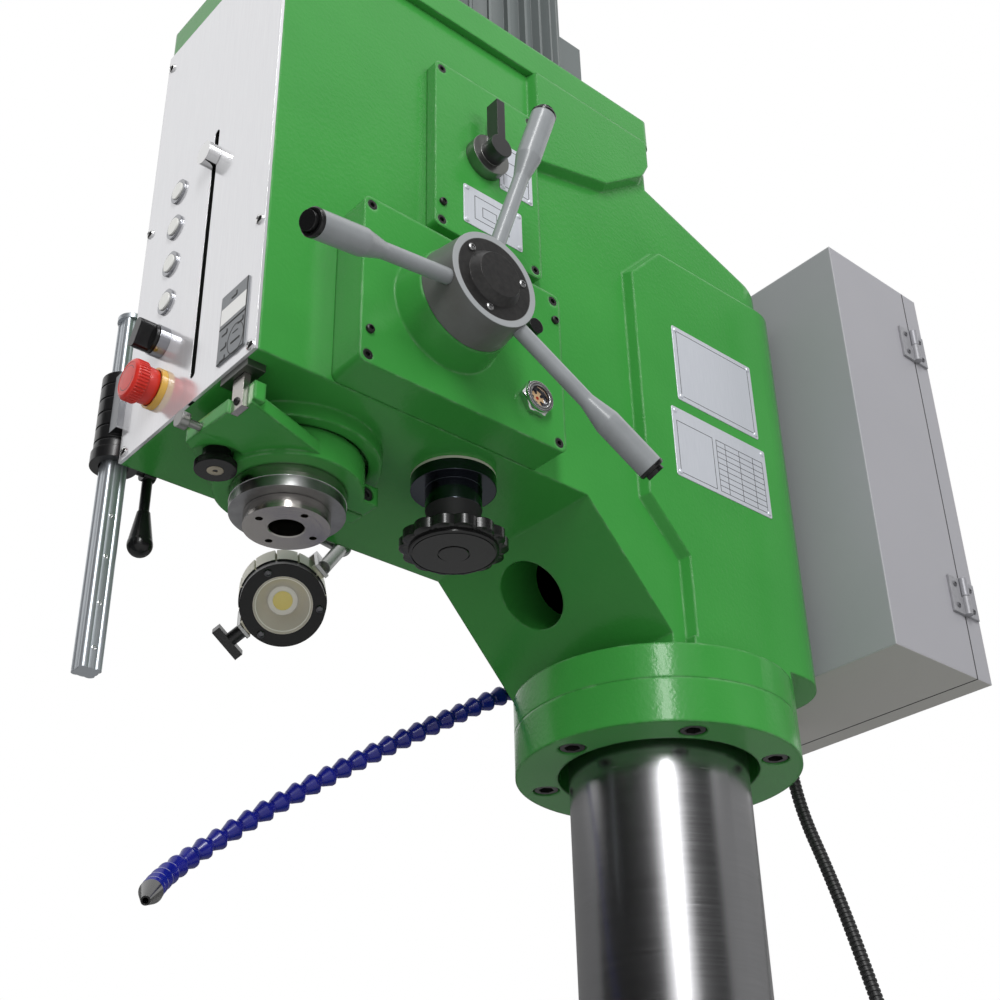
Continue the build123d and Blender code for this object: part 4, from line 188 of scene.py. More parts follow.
world = bpy.data.worlds.new("studio")
bpy.context.scene.world = world
world.use_nodes = True
sky = Nodes(world.node_tree)
seen = sky.add("ShaderNodeLightPath", output="Is Camera Ray")
seen = seen.most(sky.add("ShaderNodeLightPath", output="Is Glossy Ray"))
seen = seen.most(sky.add("ShaderNodeLightPath", output="Is Transmission Ray"))
soft = sky.add("ShaderNodeBackground", sockets={"Color": (1, 1, 1, 1), "Strength": AMBIENT})
plain = sky.add("ShaderNodeBackground", sockets={"Color": (1, 1, 1, 1), "Strength": 1.0})
shown = sky.add("ShaderNodeMixShader", sockets={0: seen, 1: soft, 2: plain})
sky.add("ShaderNodeOutputWorld", sockets={"Surface": shown})


def facing(place, target):
    """Axes and place of a lamp or card whose front looks at a target."""
    back = unit(np.subtract(place, target))
    side = unit(np.cross(UP, back))
    return posed([side, np.cross(back, side), back, place])


def lamp(name, place, size, power):
    """A soft rectangular studio lamp that looks at the drill's head."""
    light = bpy.data.lights.new(name, "AREA")
    light.shape = "RECTANGLE"
    light.size, light.size_y = size
    light.energy = power
    holder = bpy.data.objects.new(name, light)
    holder.matrix_world = facing(place, MIDDLE)
    bpy.context.scene.collection.objects.link(holder)
    return holder


lamp("key_lamp", KEY_PLACE, KEY_SIZE, KEY_POWER)
lamp("side_lamp", SIDE_PLACE, SIDE_SIZE, SIDE_POWER).visible_glossy = False


class Finish(Nodes):
    """One material: nodes round a Principled shader, on Object coordinates in metres."""

    def __init__(self, name, plain):
        self.material = bpy.data.materials.new(name)
        self.material.use_nodes = True
        super().__init__(self.material.node_tree)
        self.shader = self.tree.nodes.new("ShaderNodeBsdfPrincipled")
        self.add("ShaderNodeOutputMaterial", sockets={"Surface": Value(self.tree, self.shader.outputs[0])})
        self.here = self.add("ShaderNodeTexCoord", output="Object")
        self.feed(plain)

    def feed(self, sockets):
        """Sets or links the shader's own sockets."""
        for name, value in sockets.items():
            if isinstance(value, Value):
                self.tree.links.new(value.socket, self.shader.inputs[name])
            else:
                self.shader.inputs[name].default_value = value

    def axis(self, letter):
        """One coordinate of the place on the piece."""
        return self.add("ShaderNodeSeparateXYZ", sockets={0: self.here}, output=letter)

    def vectors(self, operation, *terms, output=0):
        """A Vector Math node on these vectors."""
        return self.add("ShaderNodeVectorMath", {"operation": operation}, dict(enumerate(terms)), output)

    def along(self, origin, direction):
        """How far the place lies from an origin along a direction."""
        offset = self.vectors("SUBTRACT", self.here, origin)
        return self.vectors("DOT_PRODUCT", offset, direction, output="Value")

    def away(self, origin, across=(1.0, 1.0, 1.0)):
        """How far the place lies from an origin, or from a line through it along which across is 0."""
        offset = self.vectors("SUBTRACT", self.here, origin)
        aside = self.vectors("MULTIPLY", offset, across)
        return self.vectors("LENGTH", aside, output="Value")

    def grain(self, scale, detail=2.0, stretch=(1, 1, 1)):
        """Noise with so many lumps to the metre, drawn out along an axis by a small stretch."""
        spread = self.vectors("MULTIPLY", self.here, stretch)
        return self.add("ShaderNodeTexNoise", None, {"Vector": spread, "Scale": scale, "Detail": detail})

    def mix(self, share, first, second):
        """A colour between two others, on the sockets that a Mix node keeps for colours."""
        return self.add("ShaderNodeMix", {"data_type": "RGBA"}, {0: share, 6: first, 7: second}, 2)

    def rounded(self, radius):
        """Normal of the surface as if its edges were rounded."""
        return self.add("ShaderNodeBevel", {"samples": BEVEL_SAMPLES}, {"Radius": radius})

    def edge(self, rounded):
        """How near an edge is: how far the rounded normal leans from the true one."""
        true = self.add("ShaderNodeNewGeometry", output="Normal")
        lean = self.vectors("DOT_PRODUCT", rounded, true, output="Value")
        return ((1.0 - lean) * EDGE_GAIN).least(1.0)

    def bump(self, height, depth, rounded=None):
        """Normal of a surface that rises by the height's share of the depth."""
        sockets = {"Height": height, "Distance": depth, "Strength": 1.0}
        if rounded is not None:
            sockets["Normal"] = rounded
        return self.add("ShaderNodeBump", None, sockets)


def rgb(red, green, blue):
    """A shader colour from the numbers of a screen colour, 0 to 255, by the curve that screens use."""
    share = np.array([red, green, blue]) / 255.0
    return (*np.where(share > 0.04045, ((share + 0.055) / 1.055) ** 2.4, share / 12.92), 1.0)


def plane(name, width, height, pose, finish):
    """A flat rectangle of the studio, which isn't part of the drill."""
    corners = np.array([[-1, -1, 0], [1, -1, 0], [1, 1, 0], [-1, 1, 0]]) * [width / 2, height / 2, 0]
    mesh = bpy.data.meshes.new(name)
    mesh.from_pydata(corners.tolist(), [], [[0, 1, 2, 3]])
    mesh.materials.append(finish.material)
    sheet = bpy.data.objects.new(name, mesh)
    sheet.matrix_world = pose
    bpy.context.scene.collection.objects.link(sheet)
    return sheet


ground = Finish("studio_floor", {"Base Color": (FLOOR_GREY, FLOOR_GREY, FLOOR_GREY, 1), "Roughness": 0.9})
plane("floor", FLOOR_SIZE, FLOOR_SIZE, Matrix.Identity(4), ground)


def card(name, start, end, heights, grey):
    """A flag out of view that only mirrors see, between two angles to the right of the camera."""
    shade = Finish(name, {"Base Color": (grey, grey, grey, 1), "Roughness": 1.0, "Specular IOR Level": 0.0})
    swing = np.radians((start + end) / 2)
    width = 2 * CARD_REACH * np.tan(np.radians(end - start) / 2)
    level_back = unit([behind[0], behind[1], 0.0])
    aim = level_back * np.cos(swing) + level * np.sin(swing)
    centre = CARD_REACH * aim + np.array([0.0, 0.0, sum(heights) / 2])
    pose = facing(centre, centre - aim)
    flag = plane(name, width, heights[1] - heights[0], pose, shade)
    flag.visible_camera = False
    flag.visible_diffuse = False
    flag.visible_shadow = False


for name, layout in CARDS.items():
    card(name, *layout)


# The base, column foot, head, feed box and table arm are iron castings in green enamel.
# It is sprayed on thick, so it has a slight orange peel. Along sharp edges it is painted pale in broken
# spots: worn paint, and a painted highlight of the rounded edges.
# The slot behind the front panel and the hole in the neck are painted black where they reach deep into the
# head: a painted shade for its dark hollow inside.
GREEN = rgb(64, 148, 66)
SHADE_GREEN = rgb(50, 130, 54)
WORN_AND_HIGHLIGHT_GREEN = rgb(212, 232, 210)
INSIDE_SHADE = rgb(0, 0, 0)
EDGE_ROUND = 0.0042
TONE_SCALE = 7.0
WEAR_AND_HIGHLIGHT_SCALE = 60.0
WEAR_AND_HIGHLIGHT_START = 0.46
WEAR_AND_HIGHLIGHT_GAIN = 5.0
WEAR_AND_HIGHLIGHT_SHARE = 0.2
PEEL_SCALE = 240.0
PEEL_DEPTH = 0.00018
SLOT_X = 0.0113
SLOT_REACH = 0.012
SLOT_BACK = -0.535
SLOT_FOOT = 1.425
SLOT_HEAD = 1.738
HOLE_MOUTH = (-0.0135, -0.152, 1.3596)
HOLE_PITCH = np.radians(33.2)
HOLE_INWARD = (0.0, np.cos(HOLE_PITCH), np.sin(HOLE_PITCH))
HOLE_R = 0.0385
HOLE_LIP = 0.057
HOLE_END = 0.13


def dress(finish, *names):
    """Gives the solids of these pieces a finish."""
    for name in names:
        for slot in nodes[name].material_slots:
            slot.material = finish.material


enamel = Finish("green_enamel", {"Roughness": 0.2, "Specular IOR Level": 0.26})
soft_edge = enamel.rounded(EDGE_ROUND)
# Pale spots along the edges: partly wear, partly a painted highlight of the rounded edges.
rubbed_and_highlit = ((enamel.grain(WEAR_AND_HIGHLIGHT_SCALE, detail=5.0) - WEAR_AND_HIGHLIGHT_START) * WEAR_AND_HIGHLIGHT_GAIN).share()
worn_and_highlit = enamel.edge(soft_edge) * rubbed_and_highlit * WEAR_AND_HIGHLIGHT_SHARE
tone = enamel.mix(enamel.grain(TONE_SCALE, detail=4.0), SHADE_GREEN, GREEN)
# Painted shade: black deep in the slot and in the neck's hole, where the hollow head lies in shade.
slot_room = (abs(enamel.axis("X") - SLOT_X) < SLOT_REACH) * (enamel.axis("Y") < SLOT_BACK)
slot_room = slot_room * (enamel.axis("Z") > SLOT_FOOT) * (enamel.axis("Z") < SLOT_HEAD)
in_hole = enamel.along(HOLE_MOUTH, HOLE_INWARD)
from_hole = enamel.away(HOLE_MOUTH)
aside = (from_hole * from_hole - in_hole * in_hole).most(0.0) < HOLE_R * HOLE_R
hollow_shade = slot_room.most(aside * (in_hole > HOLE_LIP) * (in_hole < HOLE_END))
enamel.feed({"Base Color": enamel.mix(hollow_shade, enamel.mix(worn_and_highlit, tone, WORN_AND_HIGHLIGHT_GREEN), INSIDE_SHADE)})
enamel.feed({"Normal": enamel.bump(enamel.grain(PEEL_SCALE), PEEL_DEPTH, soft_edge)})
dress(enamel, "base_plate", "column_foot", "clamp_ring", "head_casting", "top_cover", "feed_box")
dress(enamel, "gear_plate", "quill_collar", "table_arm")


# The column is a thick steel tube, ground and polished, so its finish runs in fine rings round it.
# The quill and the spindle's nose are turned and ground in the same way; the gears inside are cut and oiled.
COLUMN_STEEL = rgb(164, 164, 166)
COLUMN_PALE = rgb(186, 186, 188)
RING_STRETCH = (1.0, 1.0, 70.0)
TURNED_STEEL = rgb(196, 192, 188)
DARK_STEEL = rgb(148, 144, 140)
SPINDLE_AXIS = (0.0, -0.452, 0.0)
ROUND_Z = (1.0, 1.0, 0.0)
TOOL_MARKS = 2200.0
TOOL_MARK_DEPTH = 0.00006
FINE_EDGE = 0.0006

polished = Finish("polished_column", {"Metallic": 1.0})
rings = polished.grain(14.0, detail=3.0, stretch=RING_STRETCH)
polished.feed({"Base Color": polished.mix(rings, COLUMN_STEEL, COLUMN_PALE)})
polished.feed({"Roughness": rings.between(0.18, 0.3)})
dress(polished, "column_tube")

lathe = Finish("turned_steel", {"Metallic": 1.0})
from_axis = lathe.away(SPINDLE_AXIS, ROUND_Z)
cut = lathe.add("ShaderNodeCombineXYZ", None, {"X": from_axis, "Y": lathe.axis("Z")})
feed_lines = lathe.add("ShaderNodeTexNoise", None, {"Vector": cut, "Scale": TOOL_MARKS, "Detail": 2.0})
lathe.feed({"Base Color": lathe.mix(feed_lines, DARK_STEEL, TURNED_STEEL)})
lathe.feed({"Roughness": feed_lines.between(0.14, 0.26)})
lathe.feed({"Normal": lathe.bump(feed_lines, TOOL_MARK_DEPTH, lathe.rounded(FINE_EDGE))})
dress(lathe, "quill", "spindle", "depth_bar")

oiled = Finish("cut_gear_steel", {"Metallic": 1.0, "Roughness": 0.32})
oiled.feed({"Base Color": oiled.mix(oiled.grain(60.0, detail=4.0), rgb(112, 112, 114), rgb(176, 176, 176))})
oiled.feed({"Normal": oiled.rounded(FINE_EDGE)})
dress(oiled, "spindle_gear", "lay_shaft", "motor_shaft", "drive_bearing", "quill_bearings", "feed_shaft")
dress(oiled, "table_rack")


# The motor and the coolant pump are ready-made units in grey satin enamel.
# The motor is bolted on the head's top cover, and the pump stands on the base beside the column's foot.
MOTOR_GREY = rgb(104, 110, 110)
MOTOR_SHADE = (*np.array(MOTOR_GREY[:3]) * 0.9, 1.0)
MOTOR_SCUFF_AND_HIGHLIGHT = (*np.array(MOTOR_GREY[:3]) * 0.5 + 0.5, 1.0)
CAST_EDGE = 0.0012
SCUFF_AND_HIGHLIGHT_SHARE = 0.5
SPRAY_DEPTH = 0.00005

housing = Finish("motor_enamel", {"Roughness": 0.42, "Specular IOR Level": 0.25})
housing_edge = housing.rounded(CAST_EDGE)
clouded = housing.mix(housing.grain(11.0, detail=3.0), MOTOR_SHADE, MOTOR_GREY)
# Pale along the edges: scuffs in spots, and a painted highlight of the rounded edges.
scuffed_and_highlit = housing.edge(housing_edge) * housing.grain(90.0, detail=3.0) * SCUFF_AND_HIGHLIGHT_SHARE
housing.feed({"Base Color": housing.mix(scuffed_and_highlit, clouded, MOTOR_SCUFF_AND_HIGHLIGHT)})
housing.feed({"Normal": housing.bump(housing.grain(500.0), SPRAY_DEPTH, housing_edge)})
dress(housing, "motor_body", "coolant_pump")


# Dark fittings: oxide-blacked steel and moulded plastic.
# Screws, knobs, collars and clamps are made of one or the other, and the depth stop is plated bright.
# The fine feed's flange is blacked too, but for its matt tip and its rim under the head: a bright steel ring,
# painted pale and mostly matt as a painted highlight.
BLACK_PLASTIC = rgb(22, 22, 23)
PLASTIC_GRAIN_DEPTH = 0.00003
SMALL_EDGE = 0.0008
BOLT_EDGE = 0.002
BARE_SCREW_Y = -0.5
FLANGE_RIM_Z = 1.4002
FLANGE_TIP_Z = 1.3668
RIM_MATT = 0.8
blackened = Finish("black_oxide", {"Metallic": 0.6, "Roughness": 0.34})
oxide = blackened.mix(blackened.grain(240.0, detail=3.0), rgb(34, 34, 35), rgb(64, 63, 62))
blackened.feed({"Base Color": oxide, "Normal": blackened.rounded(FINE_EDGE)})
dress(blackened, "socket_screws", "lamp_bracket", "hose_bracket", "hub_cap")

bolt_steel = Finish("bolt_steel", {"Roughness": 0.36})
bare = bolt_steel.axis("Y") < BARE_SCREW_Y
bolt_steel.feed({"Base Color": bolt_steel.mix(bare, rgb(36, 36, 37), rgb(150, 150, 148)), "Metallic": bare})
bolt_steel.feed({"Normal": bolt_steel.rounded(BOLT_EDGE)})
dress(bolt_steel, "collar_screws")

flange = Finish("feed_flange", {})
# Painted highlight: the steel ring at the flange's top is painted pale and mostly matt.
rim_highlight = flange.axis("Z") > FLANGE_RIM_Z
flange_tip = flange.axis("Z") < FLANGE_TIP_Z
blacked = flange.mix(flange_tip, rgb(66, 70, 76), rgb(12, 12, 13))
flange.feed({"Base Color": flange.mix(rim_highlight, blacked, rgb(214, 210, 198))})
flange.feed({"Metallic": (1.0 - flange_tip) * (1.0 - rim_highlight * RIM_MATT)})
flange.feed({"Roughness": flange_tip.between(0.17, 0.67), "Normal": flange.rounded(CAST_EDGE)})
dress(flange, "fine_feed_bush")

moulded = Finish("black_plastic", {"Roughness": 0.2, "Specular IOR Level": 0.35})
moulded.feed({"Base Color": BLACK_PLASTIC})
moulded.feed({"Normal": moulded.bump(moulded.grain(700.0), PLASTIC_GRAIN_DEPTH, moulded.rounded(SMALL_EDGE))})
dress(moulded, "depth_knob", "mode_selector", "guard_lever", "hose_nozzle")
dress(moulded, "lever_button_1", "lever_button_2", "lever_button_3", "table_crank")

chrome = Finish("bright_plating", {"Base Color": rgb(214, 214, 214), "Metallic": 1.0})
chrome.feed({"Roughness": chrome.grain(300.0).between(0.05, 0.13), "Normal": chrome.rounded(FINE_EDGE)})
dress(chrome, "depth_stop")


# The fine feed knob is a moulded disc on a lobed rim; the knob under the quill's arm is knurled
# and has a pale steel insert. Both are pressed on their shafts. A bright turned line closes the quill's
# lower end, and a small socket screw holds the depth bar.
SHARP = np.radians(32.0)
FINE_FACE = (57.3, -310.3, 1322.5)
FINE_FACE_PROFILE = [
    (0, -0.9), (13.4, -0.9), (13.9, -0.4), (13.9, 0.7), (15.0, 0.7), (15.0, 0), (37.6, 0),
    (37.6, 0.9), (38.8, 0.9), (38.8, 0), (40.4, 0.3), (41.2, 1.2), (41.2, 3.6),
]
FINE_RIM_PROFILE = [(44.2, 3.8), (46.0, 5.0), (46.0, 14.4), (44.6, 15.8), (41.0, 16.1)]
FINE_NECK_PROFILE = [(17.0, 16.2), (17.0, 27.0), (9.1, 27.0), (9.1, 60.0), (0, 60.0)]
LOBES = 14
LOBE_RISE = 0.082
LOBE_COLUMNS = 288
GRIP_PROFILE = [(17.0, 0.4), (18.0, 0.4), (18.0, 6.6), (17.0, 6.6), (17.0, 0.4)]
KNURL_COUNT = 120
KNURL_DEPTH = 0.022
KNURL_COLUMNS = 480
INSERT_GRAIN_DEPTH = 0.00002
INSERT_PROFILE = [(0, 0.3), (2.1, 0.3), (2.4, -0.5), (6.6, -0.6), (7.3, -0.3), (7.3, 0.3), (0, 0.35)]
DEPTH_KNOB_FOOT = (3.0, -528.0, 1352.6)
QUILL_JOINT = (0.0, -452.0, 1348.0)
QUILL_JOINT_PROFILE = [(51.2, -0.5), (52.0, -0.4), (52.0, 0.4), (51.2, 0.5), (51.2, -0.5)]
BAR_SCREW = (79.5, -556.0, 1371.0)
MERGE = 1e-6
REAR = (0, 1, 0)
FRONT = (0, -1, 0)
SCREW_COLUMNS = 48
SCREW_WIDTHS = (1.0, 1.0, 0.93, 0.7)
SCREW_STEPS = (0.0, 0.6, 0.85)
SCREW_DOME = 0.6
RECESS_LIP = 1.08
RECESS_FLOOR = 0.4


def piece(name, grids, finish, body, sharp=SHARP):
    """One mesh from grids of points: columns close into rings, rows run along the shape."""
    points = []
    faces = []
    start = 0
    for grid in grids:
        rows, columns = grid.shape[:2]
        index = np.arange(rows * columns).reshape(rows, columns) + start
        turned_on = np.roll(index, -1, axis=1)
        corners = [index[:-1], turned_on[:-1], turned_on[1:], index[1:]]
        faces.append(np.stack(corners, axis=-1).reshape(-1, 4))
        points.append(grid.reshape(-1, 3))
        start += rows * columns
    mesh = bpy.data.meshes.new(name)
    mesh.from_pydata(np.concatenate(points).tolist(), [], np.concatenate(faces).tolist())
    shell = bmesh.new()
    shell.from_mesh(mesh)
    bmesh.ops.remove_doubles(shell, verts=shell.verts, dist=MERGE)
    bmesh.ops.recalc_face_normals(shell, faces=shell.faces)
    shell.to_mesh(mesh)
    shell.free()
    mesh.shade_smooth()
    mesh.set_sharp_from_angle(angle=sharp)
    mesh.materials.append(finish.material)
    made = bpy.data.objects.new(name, mesh)
    bpy.context.scene.collection.objects.link(made)
    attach(made, body)
    return made


def circle(count):
    """Equal steps round a circle: their angles and their unit vectors."""
    angle = np.arange(count) * 2 * np.pi / count
    return angle, np.stack([np.cos(angle), np.sin(angle), np.zeros(count)], axis=-1)


def turned(profile, count=40):
    """A lathe shape in millimetres: each row is a circle of a profile point's radius at its height."""
    profile = np.asarray(profile, float)[:, :, None, None]
    ring = circle(count)[1]
    return (profile[:, 0] * ring + profile[:, 1] * np.array(UP)) / 1000


def placed(grid, origin, along, lean=UP):
    """Stands a shape at an origin in millimetres, its third axis along one way, its second near a lean."""
    third = unit(along)
    first = unit(np.cross(lean, third))
    return np.asarray(origin) / 1000 + grid @ np.stack([first, np.cross(third, first), third])


def screw(radius, height, crown, sides, key):
    """A screw head in millimetres: a crowned lathe shape whose middle sinks into a recess with flat sides.

    The reach of the recess's wall is that of a side's middle, over the cosine of the angle from there.
    """
    angle, ring = circle(SCREW_COLUMNS)
    part = 2 * np.pi / sides
    reach = key * np.cos(np.pi / sides) / np.cos(angle % part - np.pi / sides)
    rows = [np.full(SCREW_COLUMNS, radius * width) for width in SCREW_WIDTHS]
    rows += [reach * RECESS_LIP, reach, reach * 0]
    heights = [height * step for step in SCREW_STEPS] + [height + crown * SCREW_DOME, height + crown]
    heights += [height * RECESS_FLOOR] * 2
    radii = np.array(rows)[:, :, None]
    return (radii * ring + np.array(heights)[:, None, None] * np.array(UP)) / 1000


def lobed(profile, first, last, waves, rise, count):
    """A lathe shape; from one row to another its circles swell into lobes: a rise times a cosine's size."""
    angle = circle(count)[0]
    swell = np.zeros((len(profile), 1))
    swell[first:last] = rise
    radial = 1 + swell * np.abs(np.cos(angle * waves / 2))
    return turned(profile, count) * np.stack([radial, radial, np.ones_like(radial)], axis=-1)


fine_profile = FINE_FACE_PROFILE + FINE_RIM_PROFILE + FINE_NECK_PROFILE
rim_row = len(FINE_FACE_PROFILE)
fine = lobed(fine_profile, rim_row, rim_row + len(FINE_RIM_PROFILE), LOBES, LOBE_RISE, LOBE_COLUMNS)
fine = placed(fine, FINE_FACE, UP, REAR)
shiny = Finish("glossy_knob", {"Base Color": rgb(20, 20, 20), "Roughness": 0.26, "Specular IOR Level": 0.5})
shiny.feed({"Normal": shiny.bump(shiny.grain(260.0, detail=3.0), PLASTIC_GRAIN_DEPTH)})
fine_knob = piece("lobed_knob", [fine], shiny, "fine_feed_knob")
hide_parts("fine_feed_knob")
grip = lobed(GRIP_PROFILE, first=1, last=3, waves=KNURL_COUNT, rise=KNURL_DEPTH, count=KNURL_COLUMNS)
grip = placed(grip, DEPTH_KNOB_FOOT, UP, REAR)
piece("knurled_grip", [grip], shiny, "depth_knob")
insert_steel = Finish("insert_steel", {"Metallic": 1.0, "Base Color": rgb(176, 168, 148), "Roughness": 0.3})
insert_steel.feed({"Normal": insert_steel.bump(insert_steel.grain(900.0), INSERT_GRAIN_DEPTH)})
insert = placed(turned(INSERT_PROFILE), DEPTH_KNOB_FOOT, UP, REAR)
piece("knob_insert", [insert], insert_steel, "depth_knob")
joint = placed(turned(QUILL_JOINT_PROFILE, count=120), QUILL_JOINT, UP, REAR)
piece("quill_joint_ring", [joint], chrome, "quill")
bar_screw = placed(screw(radius=3.6, height=1.4, crown=0.8, sides=6, key=1.9), BAR_SCREW, FRONT)
piece("bar_screw", [bar_screw], blackened, "quill")


# The front panel is a sheet of bright brushed steel, held by pan-head screws.
# Its push buttons and switch sit in chromed bezels, the emergency stop in a yellow ring.
PANEL_FACE = -0.563
PANEL_SCREWS = [
    (105.5, 1544.0), (106.8, 1409.0), (-107.3, 1669.0), (-104.6, 1411.0), (106.0, 1900.0), (-106.0, 1900.0),
]
BRUSH_STRETCH = (60.0, 60.0, 1.0)
YELLOW = rgb(208, 164, 70)
SLOT_WALL = 0.0041
SHEET_SKIN = 0.0004
PLAIN_EDGE = 0.001
STOP_RING_TOP = 1.476

bright_sheet = Finish("bright_panel", {"Metallic": 0.5, "Specular IOR Level": 0.3})
brushed = bright_sheet.grain(26.0, detail=4.0, stretch=BRUSH_STRETCH)
# Painted shade: the walls of the slot through the sheet are painted nearly black and matt.
slot_wall_shade = abs(bright_sheet.axis("X") - SLOT_X) < SLOT_WALL
slot_wall_shade = slot_wall_shade * (bright_sheet.axis("Y") > PANEL_FACE + SHEET_SKIN)
bare_sheet = bright_sheet.mix(brushed, rgb(214, 214, 218), rgb(234, 234, 236))
bright_sheet.feed({"Base Color": bright_sheet.mix(slot_wall_shade, bare_sheet, rgb(10, 14, 11))})
bright_sheet.feed({"Roughness": brushed.between(0.1, 0.2).most(slot_wall_shade)})
bright_sheet.feed({"Normal": bright_sheet.rounded(SMALL_EDGE)})
dress(bright_sheet, "front_panel")
pan_head = screw(radius=5.0, height=1.8, crown=1.0, sides=4, key=1.9)
heads = [placed(pan_head, (x, PANEL_FACE * 1000, z), FRONT) for x, z in PANEL_SCREWS]
piece("panel_screws", heads, chrome, "frame")

bezel = Finish("bezel_plating", {"Roughness": 0.12})
ring_share = bezel.axis("Z") < STOP_RING_TOP
bezel.feed({"Base Color": bezel.mix(ring_share, rgb(150, 151, 155), YELLOW), "Metallic": 1.0 - ring_share})
bezel.feed({"Normal": bezel.rounded(SMALL_EDGE)})
dress(bezel, "control_bezels")

cap_white = Finish("button_plastic", {"Base Color": rgb(232, 232, 228), "Roughness": 0.3})
cap_white.feed({"Normal": cap_white.rounded(PLAIN_EDGE)})
dress(cap_white, "push_button_1", "push_button_2", "push_button_3", "push_button_4")


# The emergency stop's head is a moulded red mushroom with finger ribs round its rim.
# It is pressed on the switch's stem, and two arcs on its face show which way it turns to let go.
STOP_CENTRE = (-51.5, -569.3, 1450.0)
STOP_PROFILE = [
    (0, -27.3), (6, -27.3), (6, 0), (16.6, 0), (17.0, 0.6), (17.4, 10.6), (19.2, 11.2), (20, 12.2),
    (20, 16.0), (20, 20.2), (19.4, 22.2), (18.0, 23.6), (15.8, 24.3), (15.2, 24.0), (14.4, 24.1),
    (7.5, 24.4), (0, 24.5),
]
STOP_RIBS = 40
STOP_COLUMNS = 240
RIB_FOOT = 11.5
RIB_HEAD = 21.0
RIB_FLATS = 2.0
RIB_DEPTH = np.array([0.045, 0.045, 0.0])
ARC_INNER = 0.0116
ARC_OUTER = 0.0125
ARC_GAP = 0.0042
ARC_FACE = 0.0236
ROUND_Y = (1.0, 0.0, 1.0)
red = Finish("stop_plastic", {"Roughness": 0.3})
stop_axis = tuple(np.array(STOP_CENTRE) / 1000)
from_stop = red.away(stop_axis, ROUND_Y)
arcs = (from_stop > ARC_INNER) * (from_stop < ARC_OUTER) * (abs(red.axis("Z") - stop_axis[2]) > ARC_GAP)
arcs = arcs * (red.axis("Y") < stop_axis[1] - ARC_FACE)
stop_red = red.mix(red.grain(160.0, detail=3.0), rgb(190, 34, 26), rgb(216, 50, 38))
red.feed({"Base Color": red.mix(arcs, stop_red, rgb(110, 18, 16))})


def finger_ribs(heights):
    """What ribs leave of each row and column: a cosine wave, cut flat at its tops, that only takes away."""
    wave = np.clip(np.cos(circle(STOP_COLUMNS)[0] * STOP_RIBS) * RIB_FLATS, -1, 1)
    rows = np.where((heights > RIB_FOOT) & (heights < RIB_HEAD), 1.0, 0.0)
    return 1 + np.outer(rows, wave * 0.5 - 0.5)[:, :, None] * RIB_DEPTH


mushroom = turned(STOP_PROFILE, STOP_COLUMNS) * finger_ribs(np.array(STOP_PROFILE)[:, 1])
mushroom = placed(mushroom, STOP_CENTRE, FRONT)
stop = piece("stop_mushroom", [mushroom], red, "estop_head")
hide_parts("estop_head")


# The depth readout is a small case with a display window and a film keypad, screwed to the panel.
# The bare steel guide of the depth bar is fixed to the panel under it.
READOUT_FACE = -564.6
# Places of the painted shade strokes along the lower right edges of the raised keys.
READOUT_MARKS = [(75.5, 1478.0), (89.5, 1443.0), (64.5, 1443.5), (64.3, 1429.0), (63.6, 1416.8)]
MARK_STROKE = (8.5, 1.9, 0.7)
MARK_TICK = (1.9, 4.6, 0.7)
TICK_X = 3.9
TICK_Z = 2.0
READOUT_BARS = [
    (14.5, 2.0, 0.8, 83.0, 1427.5), (8.5, 1.1, 0.5, 82.3, 1437.0), (42.0, 1.7, 0.4, 76.2, 1452.0),
    (42.0, 1.0, 0.4, 76.2, 1415.8), (1.5, 71.5, 0.5, 96.5, 1451.2),
]
READOUT_WINDOW = (39.5, 17.0, 0.8, 76.0, 1464.5)
KEY_RING = [(12.6, 0), (12.6, 0.2), (12.0, 0.2), (12.0, 0), (12.6, 0)]
KEY_RING_SHAPE = np.array([1.0, 1.22, 1.0])
KEY_RING_PLACE = (83.2, READOUT_FACE, 1429.5)
FILM_THICK = 0.25
FILM_EDGE = 0.1
GUIDE_TOP = 1.406
casing = Finish("readout_film", {"Roughness": 0.42, "Specular IOR Level": 0.3})
steel_guide = casing.axis("Z") < GUIDE_TOP
film_tone = casing.mix(casing.grain(900.0), rgb(118, 121, 124), rgb(138, 141, 144))
casing.feed({"Base Color": casing.mix(steel_guide, film_tone, rgb(112, 114, 110)), "Metallic": steel_guide})
casing.feed({"Normal": casing.rounded(SMALL_EDGE)})
dress(casing, "readout")


def plate(width, height, corner, thick, edge=0.3, count=32):
    """A flat plate in millimetres with round corners: rows step from its back round a chamfer to its face."""
    angle = (np.arange(count) + 0.5) * 2 * np.pi / count
    swing = np.stack([np.cos(angle), np.sin(angle)], axis=-1)
    centre = np.sign(swing) * (np.array([width, height]) / 2 - corner)
    rows = [(0, corner, 0), (1, corner, 0), (1, corner, thick - edge)]
    rows += [(1, corner - edge, thick), (0, corner, thick)]
    flat = [share * (centre + reach * swing) for share, reach, lift in rows]
    lifts = [np.full((count, 1), lift) for share, reach, lift in rows]
    return np.concatenate([np.array(flat), np.array(lifts)], axis=-1) / 1000


def on_panel(width, height, corner, x, z):
    """A thin film on the readout's face."""
    return placed(plate(width, height, corner, FILM_THICK, FILM_EDGE), (x, READOUT_FACE, z), FRONT)


glass = Finish("display_window", {"Base Color": rgb(232, 232, 230), "Roughness": 0.1})
piece("readout_window", [on_panel(*READOUT_WINDOW)], glass, "frame")
ink_and_shade = Finish("ink_and_key_shade", {"Base Color": rgb(22, 23, 25), "Roughness": 0.5})
